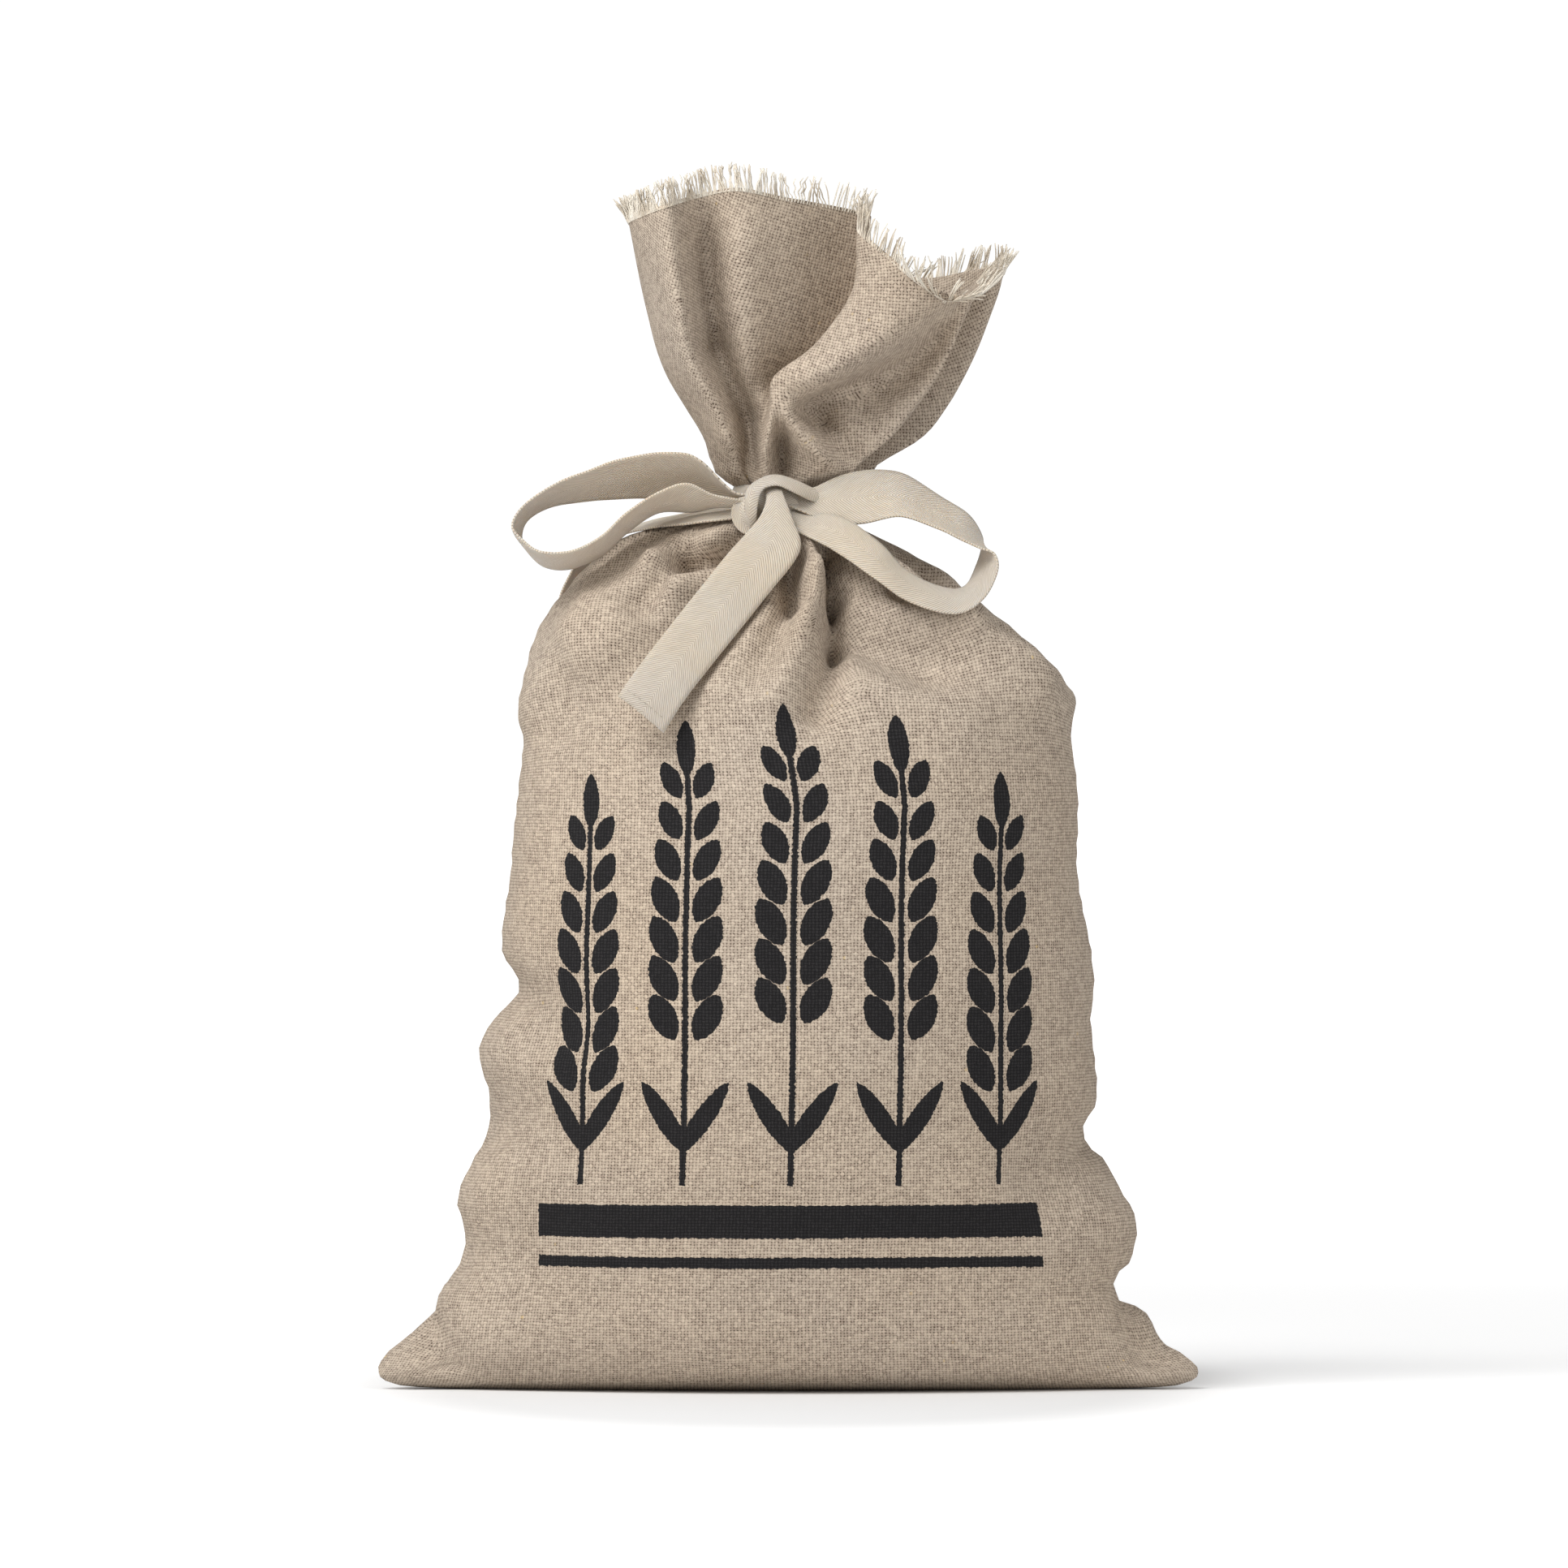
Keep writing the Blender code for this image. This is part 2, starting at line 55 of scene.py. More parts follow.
def through(knots, values, at):
    # a smooth curve through rows of values, read at the places asked for
    knots, values = np.asarray(knots, float), np.asarray(values, float)
    slopes = np.gradient(values, knots, axis=0)
    low = np.clip(np.searchsorted(knots, at, side="right") - 1, 0, len(knots) - 2)
    span = knots[low + 1] - knots[low]
    t = (at - knots[low]) / span
    shape = t.shape + (1,) * (values.ndim - 1)
    t, span = t.reshape(shape), span.reshape(shape)
    return (
        (1 + 2 * t) * (1 - t) ** 2 * values[low]
        + t * (1 - t) ** 2 * span * slopes[low]
        + t * t * (3 - 2 * t) * values[low + 1]
        + t * t * (t - 1) * span * slopes[low + 1]
    )


def softNoise(points, size, seed=0.0):
    # even noise of about -1 to 1, size in millimetres
    shift = Vector((seed * 13.7, seed * 7.1, seed * 3.3))
    flat = points.reshape(-1, 3) / size
    made = np.array([noise.noise(Vector(p) + shift) for p in flat.tolist()])
    return made.reshape(points.shape[:-1]) * 1.6


def lengthAlong(points, axis):
    # running length along the rows or columns of a grid of points
    steps = np.linalg.norm(np.diff(points, axis=axis), axis=-1)
    start = np.zeros_like(np.take(steps, [0], axis=axis))
    return np.concatenate([start, np.cumsum(steps, axis=axis)], axis=axis)


def gridOn(points, uvOf, uvName):
    # lays a bmesh grid on rows of points, with its own uv map in metres
    rows, columns = points.shape[:2]
    bm = bmesh.new()
    bmesh.ops.create_grid(bm, x_segments=columns - 1, y_segments=rows - 1, size=0.5, calc_uvs=False)
    bm.verts.ensure_lookup_table()
    for index, vert in enumerate(bm.verts):
        vert.co = Vector(points[index // columns, index % columns].tolist()) * mm
    layer = bm.loops.layers.uv.new(uvName)
    for face in bm.faces:
        spots = [(loop, divmod(loop.vert.index, columns)) for loop in face.loops]
        first = (min(spot[1][0] for spot in spots), min(spot[1][1] for spot in spots))
        for loop, (row, at) in spots:
            loop[layer].uv = uvOf(row, at, first)
    return bm


def faceOutwards(bm):
    bmesh.ops.recalc_face_normals(bm, faces=bm.faces)
    middle = Vector((bagCloth["neckX"] * mm, 0, 0))
    outward = 0.0
    for face in bm.faces:
        away = face.calc_center_median() - middle
        away.z = 0
        outward += face.calc_area() * face.normal.dot(away)
    if outward < 0:
        bmesh.ops.reverse_faces(bm, faces=bm.faces)


def finished(name, bm, material):
    mesh = bpy.data.meshes.new(name)
    bm.to_mesh(mesh)
    bm.free()
    mesh.materials.append(material)
    mesh.shade_smooth()
    made = bpy.data.objects.new(name, mesh)
    bpy.context.scene.collection.objects.link(made)
    return made


def addThickness(made, thickness, offset):
    wall = made.modifiers.new("clothThickness", "SOLIDIFY")
    wall.thickness = thickness * mm
    wall.offset = offset
    wall.use_even_offset = False
    wall.use_rim = True


# shader helpers

def addNode(tree, kind, **settings):
    node = tree.nodes.new(kind)
    for key, value in settings.items():
        setattr(node, key, value)
    return node


def feed(tree, socket, value):
    if isinstance(value, bpy.types.NodeSocket):
        tree.links.new(value, socket)
    elif value is not None:
        socket.default_value = value


def calc(tree, operation, a, b=None, c=None, clamp=False):
    node = addNode(tree, "ShaderNodeMath", operation=operation, use_clamp=clamp)
    for socket, value in zip(node.inputs, (a, b, c)):
        feed(tree, socket, value)
    return node.outputs[0]


def times(tree, a, b):
    return calc(tree, "MULTIPLY", a, b)


def plus(tree, a, b):
    return calc(tree, "ADD", a, b)


def minus(tree, a, b):
    return calc(tree, "SUBTRACT", a, b)


def remap(tree, value, low, high, toLow=0.0, toHigh=1.0, kind="SMOOTHSTEP"):
    node = addNode(tree, "ShaderNodeMapRange", interpolation_type=kind)
    given = {"Value": value, "From Min": low, "From Max": high, "To Min": toLow, "To Max": toHigh}
    for name, item in given.items():
        feed(tree, node.inputs[name], item)
    return node.outputs["Result"]


def joinVector(tree, x, y, z=0.0):
    node = addNode(tree, "ShaderNodeCombineXYZ")
    for socket, value in zip(node.inputs, (x, y, z)):
        feed(tree, socket, value)
    return node.outputs[0]


def splitVector(tree, vector):
    node = addNode(tree, "ShaderNodeSeparateXYZ")
    feed(tree, node.inputs[0], vector)
    return node.outputs


def noiseOf(tree, vector, scale, detail=2.0, roughness=0.5, kind="3D"):
    node = addNode(tree, "ShaderNodeTexNoise", noise_dimensions=kind)
    feed(tree, node.inputs["Vector"], vector)
    feed(tree, node.inputs["Scale"], scale)
    feed(tree, node.inputs["Detail"], detail)
    feed(tree, node.inputs["Roughness"], roughness)
    return node.outputs["Fac"]


def drawnNoise(tree, x, y, perX, perY, shift=0.0, detail=2.0):
    # noise drawn out along one of the two directions
    return noiseOf(tree, joinVector(tree, times(tree, x, perX), times(tree, y, perY), shift), 1.0, detail)


def mixColour(tree, share, a, b, blend="MIX"):
    node = addNode(tree, "ShaderNodeMix", data_type="RGBA", blend_type=blend)
    feed(tree, node.inputs[0], share)
    feed(tree, node.inputs[6], a)
    feed(tree, node.inputs[7], b)
    return node.outputs[2]


def shaded(tree, base, shade):
    return mixColour(tree, 1.0, base, joinVector(tree, shade, shade, shade), "MULTIPLY")


def mixValue(tree, share, a, b):
    node = addNode(tree, "ShaderNodeMix", data_type="FLOAT")
    feed(tree, node.inputs[0], share)
    feed(tree, node.inputs[2], a)
    feed(tree, node.inputs[3], b)
    return node.outputs[0]


def addBump(tree, shader, height, strength, distance):
    bump = addNode(tree, "ShaderNodeBump")
    bump.inputs["Strength"].default_value = strength
    bump.inputs["Distance"].default_value = distance
    feed(tree, bump.inputs["Height"], height)
    feed(tree, shader.inputs["Normal"], bump.outputs[0])


def newGroup(name, inputs, outputs):
    # inputs are (name, type, value), outputs are (name, type)
    group = bpy.data.node_groups.new(name, "ShaderNodeTree")
    for label, kind, value in inputs:
        socket = group.interface.new_socket(name=label, in_out="INPUT", socket_type=kind)
        if value is not None:
            socket.default_value = value
    for label, kind in outputs:
        group.interface.new_socket(name=label, in_out="OUTPUT", socket_type=kind)
    return group, addNode(group, "NodeGroupInput").outputs, addNode(group, "NodeGroupOutput").inputs


def useGroup(tree, group, **values):
    node = addNode(tree, "ShaderNodeGroup", node_tree=group)
    for key, value in values.items():
        feed(tree, node.inputs[key], value)
    return node.outputs


def newMaterial(name):
    material = bpy.data.materials.new(name)
    material.use_nodes = True
    return material, material.node_tree, material.node_tree.nodes["Principled BSDF"]


# shared shader groups

def plainWeaveGroup():
    # one thread over, one under, with slubs along the threads and small holes at the crossings
    group, given, out = newGroup(
        "plainWeave",
        [("Place", "NodeSocketVector", None), ("Warp", "NodeSocketFloat", 800.0),
         ("Weft", "NodeSocketFloat", 900.0), ("Openness", "NodeSocketFloat", 0.3)],
        [("Height", "NodeSocketFloat"), ("Hole", "NodeSocketFloat"), ("Tone", "NodeSocketFloat"),
         ("Fleck", "NodeSocketFloat")],
    )
    t = group
    place, openness = given["Place"], given["Openness"]
    x, y, _ = splitVector(t, place)
    bend = drawnNoise(t, x, y, 70.0, 35.0)
    bow = drawnNoise(t, x, y, 35.0, 70.0, 7.0)
    shake = noiseOf(t, place, 620.0, 1.0)
    across = plus(t, times(t, x, given["Warp"]), times(t, bend, 1.2))
    across = plus(t, across, times(t, shake, 0.55))
    along = plus(t, times(t, y, given["Weft"]), times(t, bow, 1.2))
    along = minus(t, along, times(t, shake, 0.55))
    warpId, weftId = calc(t, "FLOOR", across), calc(t, "FLOOR", along)
    # thickness of each thread, slow along it and new for the next one
    warpSlub = drawnNoise(t, warpId, y, 5.31, 130.0, 2.0, 3.0)
    weftSlub = drawnNoise(t, x, weftId, 90.0, 5.77, 9.0, 3.0)

    def rounded(position, slub):
        # 1 on the middle of a thread, 0 at its edge, wider where it is thick
        away = calc(t, "ABSOLUTE", minus(t, calc(t, "FRACT", position), 0.5))
        reach = plus(t, 0.36, times(t, slub, 0.30))
        share = calc(t, "DIVIDE", away, minus(t, reach, times(t, openness, 0.12)))
        return calc(t, "SUBTRACT", 1.0, times(t, share, share), clamp=True)

    warpRound, weftRound = rounded(across, warpSlub), rounded(along, weftSlub)
    over = times(t, calc(t, "SINE", times(t, across, pi)), calc(t, "SINE", times(t, along, pi)))
    warpHigh = times(t, warpRound, calc(t, "MULTIPLY_ADD", over, 0.42, 0.58))
    weftHigh = times(t, weftRound, calc(t, "MULTIPLY_ADD", over, -0.42, 0.58))
    height = calc(t, "MAXIMUM", warpHigh, weftHigh)
    onTop = calc(t, "GREATER_THAN", warpHigh, weftHigh)
    tone = mixValue(t, onTop, weftSlub, warpSlub)
    # each crossing stands a little higher or lower than the next
    crossing = addNode(t, "ShaderNodeTexWhiteNoise", noise_dimensions="2D")
    feed(t, crossing.inputs["Vector"], joinVector(t, warpId, weftId))
    chance = crossing.outputs["Value"]
    height = times(t, height, calc(t, "MULTIPLY_ADD", chance, 0.30, 0.70))
    # the fibres run along whichever thread is on top
    upFibre = drawnNoise(t, x, y, 3600.0, 1100.0, 0.0, 1.0)
    overFibre = drawnNoise(t, x, y, 1100.0, 3600.0, 4.0, 1.0)
    fluff = mixValue(t, onTop, overFibre, upFibre)
    height = plus(t, height, times(t, minus(t, fluff, 0.5), 0.30))
    # the holes at the corners of the crossings, open in some places and shut in others
    openHere = noiseOf(t, place, 210.0, 3.0, 0.7)
    corner = times(t, minus(t, 1.0, warpRound), minus(t, 1.0, weftRound))
    ajar = calc(t, "MULTIPLY_ADD", openHere, 0.5, plus(t, openness, 0.25))
    shut = minus(t, 1.0, times(t, ajar, 0.84))
    shut = plus(t, shut, times(t, minus(t, chance, 0.5), 0.45))
    feed(t, out["Height"], height)
    feed(t, out["Hole"], remap(t, corner, shut, plus(t, shut, 0.25)))
    mottled = plus(t, times(t, tone, 0.36), times(t, chance, 0.18))
    feed(t, out["Tone"], plus(t, mottled, times(t, fluff, 0.50)))
    speck = drawnNoise(t, x, weftId, 260.0, 0.9, 3.0, 1.0)
    feed(t, out["Fleck"], remap(t, speck, 0.76, 0.82))
    return group


def herringboneGroup():
    # slanted ribs that meet on the middle line of the tape
    group, given, out = newGroup(
        "herringbone",
        [("Place", "NodeSocketVector", None), ("Width", "NodeSocketFloat", 0.02),
         ("Rib", "NodeSocketFloat", 0.0011), ("Slant", "NodeSocketFloat", 1.15)],
        [("Height", "NodeSocketFloat"), ("Gap", "NodeSocketFloat"), ("Tone", "NodeSocketFloat")],
    )
    t = group
    x, y, _ = splitVector(t, given["Place"])
    side = calc(t, "ABSOLUTE", minus(t, x, times(t, given["Width"], 0.5)))
    wander = drawnNoise(t, x, y, 300.0, 120.0)
    lean = times(t, side, given["Slant"])
    ribs = calc(t, "DIVIDE", minus(t, y, lean), given["Rib"])
    ribs = plus(t, ribs, times(t, wander, 0.5))
    away = calc(t, "ABSOLUTE", calc(t, "MULTIPLY_ADD", calc(t, "FRACT", ribs), 2.0, -1.0))
    ribHigh = minus(t, 1.0, times(t, away, away))
    picks = calc(t, "SINE", times(t, x, 2 * pi / 0.00055))
    beads = calc(t, "MULTIPLY_ADD", picks, 0.10, 0.90)
    middle = remap(t, side, 0.0001, 0.0006, 0.55, 1.0)
    feed(t, out["Height"], times(t, times(t, ribHigh, beads), middle))
    feed(t, out["Gap"], remap(t, away, 0.62, 0.98))
    feed(t, out["Tone"], noiseOf(t, joinVector(t, calc(t, "FLOOR", ribs), times(t, x, 240.0)), 1.0, 3.0))
    return group


def patchesGroup():
    # slow patches of lighter and darker, warmer and cooler cloth
    group, given, out = newGroup(
        "clothPatches",
        [("Spot", "NodeSocketVector", None), ("Size", "NodeSocketFloat", 14.0)],
        [("Patch", "NodeSocketFloat"), ("Warmth", "NodeSocketFloat")],
    )
    t = group
    feed(t, out["Patch"], noiseOf(t, given["Spot"], given["Size"], 4.0, 0.6))
    moved = addNode(t, "ShaderNodeVectorMath", operation="ADD")
    feed(t, moved.inputs[0], given["Spot"])
    moved.inputs[1].default_value = (3.1, 1.7, 5.3)
    feed(t, out["Warmth"], noiseOf(t, moved.outputs[0], times(t, given["Size"], 0.6), 3.0, 0.55))
    return group


# materials

linenLook = dict(
    dark=(0.300, 0.238, 0.192, 1), light=(0.590, 0.500, 0.404, 1), shadeInHoles=(0.085, 0.058, 0.040, 1),
    yellow=(0.60, 0.43, 0.17, 1), warm=(1.06, 1.0, 0.90, 1), cool=(0.97, 1.0, 1.04, 1),
    inkLow=(0.010, 0.0095, 0.010, 1), inkHigh=(0.030, 0.028, 0.029, 1), inkShake=0.0013,
    warp=800.0, weft=909.0, bumpDepth=0.00028,
)


# the printed ears and lines, in metres on the front's cloth
grainDesign = dict(
    pitch=0.0385, foot=0.108, tip=0.266, drop=0.0062, grainPitch=0.0140, grainOut=0.0080, grainLong=0.0092,
    grainWide=0.0049, grainLean=27.0, stemHalf=0.0011, leafOut=0.0066, leafUp=0.024, leafLong=0.0165,
    leafWide=0.0036, leafLean=34.0, linesHalf=0.094, wideLine=(0.0950, 0.0060), thinLine=(0.0800, 0.0020),
)


def grainPrint(tree, x, y):
    # five standing ears of grain over two plain lines
    t, v = tree, grainDesign
    pitch, low, grainPitch = v["pitch"], v["foot"], v["grainPitch"]
    column = calc(t, "DIVIDE", x, pitch)
    number = calc(t, "ROUND", column)
    inX = times(t, minus(t, column, number), pitch)
    farOut = calc(t, "ABSOLUTE", number)
    allowed = calc(t, "LESS_THAN", farOut, 2.5)
    # the middle ear is the tallest
    top = minus(t, v["tip"], times(t, times(t, farOut, farOut), v["drop"]))
    up = minus(t, top, y)  # down from the tip
    rowsDown = calc(t, "DIVIDE", up, grainPitch)
    row = calc(t, "FLOOR", rowsDown)
    inRow = minus(t, calc(t, "FRACT", rowsDown), 0.5)
    side = calc(t, "ABSOLUTE", inX)
    tiltC, tiltS = cos(radians(v["grainLean"])), sin(radians(v["grainLean"]))
    grain = None
    for shift in (-1.0, 0.0, 1.0):  # a grain also reaches into the rows beside its own
        number = plus(t, row, shift)
        swell = remap(t, number, -0.5, 3.5, 0.72, 1.0, "LINEAR")
        a = minus(t, side, times(t, swell, v["grainOut"]))
        b = times(t, minus(t, inRow, shift), grainPitch)
        # each grain leans outwards and up
        longWay = minus(t, times(t, a, tiltS), times(t, b, tiltC))
        wideWay = plus(t, times(t, a, tiltC), times(t, b, tiltS))
        longShare = calc(t, "DIVIDE", longWay, times(t, swell, v["grainLong"]))
        wideShare = calc(t, "DIVIDE", calc(t, "ABSOLUTE", wideWay), times(t, swell, v["grainWide"]))
        point = plus(t, times(t, longShare, longShare), calc(t, "POWER", wideShare, 1.4))
        inEar = times(t, calc(t, "GREATER_THAN", number, -0.5), calc(t, "LESS_THAN", number, 6.5))
        one = times(t, calc(t, "LESS_THAN", point, 1.0), inEar)
        grain = one if grain is None else calc(t, "MAXIMUM", grain, one)
    # one grain stands on the tip
    tipLong = calc(t, "DIVIDE", plus(t, up, 0.0042), 0.0095)
    tipWide = calc(t, "DIVIDE", side, 0.0036)
    tip = calc(t, "LESS_THAN", plus(t, times(t, tipLong, tipLong), calc(t, "POWER", tipWide, 1.6)), 1.0)
    tall = times(t, calc(t, "GREATER_THAN", up, 0.0), calc(t, "GREATER_THAN", y, low))
    stem = times(t, calc(t, "LESS_THAN", side, v["stemHalf"]), tall)
    # two narrow leaves on each stem
    leafX, leafY = minus(t, side, v["leafOut"]), minus(t, y, low + v["leafUp"])
    leafC, leafS = cos(radians(v["leafLean"])), sin(radians(v["leafLean"]))
    leafLong = plus(t, times(t, leafX, leafS), times(t, leafY, leafC))
    leafWide = minus(t, times(t, leafX, leafC), times(t, leafY, leafS))
    longShare = calc(t, "POWER", calc(t, "DIVIDE", leafLong, v["leafLong"]), 2.0)
    wideShare = calc(t, "POWER", calc(t, "DIVIDE", calc(t, "ABSOLUTE", leafWide), v["leafWide"]), 1.4)
    leaf = calc(t, "LESS_THAN", plus(t, longShare, wideShare), 1.0)
    ears = calc(t, "MAXIMUM", calc(t, "MAXIMUM", grain, tip), calc(t, "MAXIMUM", stem, leaf))
    ears = times(t, ears, allowed)
    inside = calc(t, "LESS_THAN", calc(t, "ABSOLUTE", x), v["linesHalf"])
    wide, thin = (calc(t, "LESS_THAN", calc(t, "ABSOLUTE", minus(t, y, middle)), half)
                  for middle, half in (v["wideLine"], v["thinLine"]))
    lines = times(t, inside, calc(t, "MAXIMUM", wide, thin))
    return calc(t, "MAXIMUM", ears, lines)


def linenMaterial(name, weaveGroup, patchGroup):
    look = linenLook
    material, tree, shader = newMaterial(name)
    place = addNode(tree, "ShaderNodeUVMap", uv_map="cloth").outputs[0]
    weave = useGroup(tree, weaveGroup, Place=place, Warp=look["warp"], Weft=look["weft"])
    spot = addNode(tree, "ShaderNodeTexCoord").outputs["Object"]
    patches = useGroup(tree, patchGroup, Spot=spot)
    base = mixColour(tree, remap(tree, weave["Tone"], 0.20, 0.76, 0.0, 1.0, "LINEAR"), look["dark"], look["light"])
    base = mixColour(tree, times(tree, weave["Fleck"], 0.55), base, look["yellow"])
    # the weave is painted darker where it lies low and lighter on the thread tops: painted shade between the threads
    # and painted highlight on their tops
    base = shaded(tree, base, remap(tree, weave["Height"], 0.0, 0.85, 0.70, 1.14, "LINEAR"))
    base = mixColour(tree, 1.0, base, mixColour(tree, patches["Warmth"], look["warm"], look["cool"]), "MULTIPLY")
    base = shaded(tree, base, remap(tree, patches["Patch"], 0.25, 0.75, 0.94, 1.06, "LINEAR"))
    # the gaps at the crossings are painted near black: painted shade of the dark inside of the bag, seen through the
    # holes
    base = mixColour(tree, times(tree, weave["Hole"], 0.95), base, look["shadeInHoles"])
    # the print's edge is uneven, and it wears thin in places
    x, y, _ = splitVector(tree, place)
    shakes = (minus(tree, noiseOf(tree, place, size, 1.0), 0.5) for size in (900.0, 760.0))
    shakeX, shakeY = (times(tree, shake, look["inkShake"]) for shake in shakes)
    inked = grainPrint(tree, plus(tree, x, shakeX), plus(tree, y, shakeY))
    bare = times(tree, remap(tree, weave["Tone"], 0.30, 0.22), 0.5)
    inked = times(tree, inked, minus(tree, 1.0, bare))
    # the ink is painted darker where the weave lies low and lighter on the thread tops: painted shade and painted
    # highlight on the print
    black = mixColour(tree, remap(tree, weave["Height"], 0.2, 0.95), look["inkLow"], look["inkHigh"])
    feed(tree, shader.inputs["Base Color"], mixColour(tree, inked, base, black))
    feed(tree, shader.inputs["Roughness"], calc(tree, "MULTIPLY_ADD", inked, -0.10, 0.92))
    shader.inputs["Sheen Weight"].default_value = 0.04
    shader.inputs["Sheen Roughness"].default_value = 0.5
    shader.inputs["Specular IOR Level"].default_value = 0.12
    addBump(tree, shader, weave["Height"], 0.8, look["bumpDepth"])
    return material


tapeLook = dict(
    dark=(0.47, 0.41, 0.335, 1), light=(0.67, 0.61, 0.525, 1), gap=(0.22, 0.18, 0.135, 1), bumpDepth=0.00018,
    warm=(1.02, 0.995, 0.95, 1), cool=(0.99, 1.0, 1.02, 1),
)


def tapeMaterial(ribGroup, patchGroup):
    look = tapeLook
    material, tree, shader = newMaterial("cottonTape")
    place = addNode(tree, "ShaderNodeUVMap", uv_map="tape").outputs[0]
    ribs = useGroup(tree, ribGroup, Place=place)
    patches = useGroup(tree, patchGroup, Spot=addNode(tree, "ShaderNodeTexCoord").outputs["Object"], Size=26.0)
    base = mixColour(tree, remap(tree, ribs["Tone"], 0.2, 0.8, 0.35, 1.0, "LINEAR"), look["dark"], look["light"])
    # the grooves between the ribs are painted dark: painted shade in the grooves
    base = mixColour(tree, times(tree, ribs["Gap"], 0.9), base, look["gap"])
    base = shaded(tree, base, remap(tree, patches["Patch"], 0.25, 0.75, 0.93, 1.05, "LINEAR"))
    tint = mixColour(tree, remap(tree, patches["Warmth"], 0.35, 0.65), look["warm"], look["cool"])
    base = mixColour(tree, 1.0, base, tint, "MULTIPLY")
    feed(tree, shader.inputs["Base Color"], base)
    shader.inputs["Roughness"].default_value = 0.85
    shader.inputs["Sheen Weight"].default_value = 0.10
    shader.inputs["Specular IOR Level"].default_value = 0.25
    shader.inputs["Subsurface Weight"].default_value = 0.45  # thin cotton lets some light through
    shader.inputs["Subsurface Radius"].default_value = (1.0, 0.75, 0.5)
    shader.inputs["Subsurface Scale"].default_value = 0.0015
    addBump(tree, shader, ribs["Height"], 0.7, look["bumpDepth"])
    return material


def threadMaterial(name, dark, light):
    # twisted yarn, its fine strands running round it
    material, tree, shader = newMaterial(name)
    spot = addNode(tree, "ShaderNodeTexCoord").outputs["Object"]
    strands = noiseOf(tree, spot, 1500.0, 2.0)
    slow = noiseOf(tree, spot, 90.0, 2.0)
    base = mixColour(tree, remap(tree, slow, 0.3, 0.7), dark, light)
    shade = remap(tree, strands, 0.25, 0.75, 0.80, 1.12, "LINEAR")
    feed(tree, shader.inputs["Base Color"], shaded(tree, base, shade))
    shader.inputs["Roughness"].default_value = 0.9
    shader.inputs["Sheen Weight"].default_value = 0.15
    addBump(tree, shader, strands, 0.5, 0.0001)
    return material


# the bag's cloth

# height, left, right, front, back, and how square the section is
bagSections = tuple(Section(*row) for row in (
    (0.5, -138, 138, 27, 27, 1.60),
    (2, -143, 143, 37, 36, 1.60),
    (5.5, -146, 146, 46, 45, 1.55),
    (11, -144, 142, 54, 53, 1.50),
    (18, -137, 134, 58, 57, 1.38),
    (27, -131, 129, 61, 60, 1.25),
    (36, -125, 120, 63, 62, 1.17),
    (45, -118, 122, 65, 64, 1.12),
    (56, -116, 123, 67, 66, 1.08),
    (67, -118, 120, 69, 68, 1.05),
    (79, -114, 115, 71, 70, 1.02),
    (91, -108, 109, 72, 71, 1.00),
    (103, -107, 110, 73, 72, 0.98),
    (119, -109, 109, 74, 73, 0.97),
    (132, -105, 108, 74, 74, 0.96),
    (143, -100, 109, 74, 74, 0.96),
    (155, -102, 108, 74, 74, 0.96),
    (186, -99, 103, 73, 73, 0.96),
    (216, -96, 103, 69, 70, 0.96),
    (234, -94, 101, 65, 67, 0.97),
    (246, -94, 102, 60, 62, 0.98),
    (257, -93, 95, 54, 56, 1.00),
    (266, -91, 86, 48, 50, 1.00),
    (275, -87, 75, 42, 44, 1.00),
    (284, -80, 64, 36, 37, 1.00),
    (292, -73, 54, 30, 31, 1.00),
    (299, -65, 40, 25, 25, 1.00),
    (305, -53, 27, 20, 20, 1.00),
    (310, -31, 14, 16, 16, 1.00),
    (313.5, -17, 5, 11, 11, 1.00),
    (324, -17, 5, 11, 11, 1.00),
))

# the bag's sides without their tucks: height, left, right
calmSides = ((0, -141, 141), (14, -137, 136), (36, -122, 121), (70, -114, 115), (120, -106, 109),
             (180, -100, 104), (220, -96, 103), (246, -94, 104))

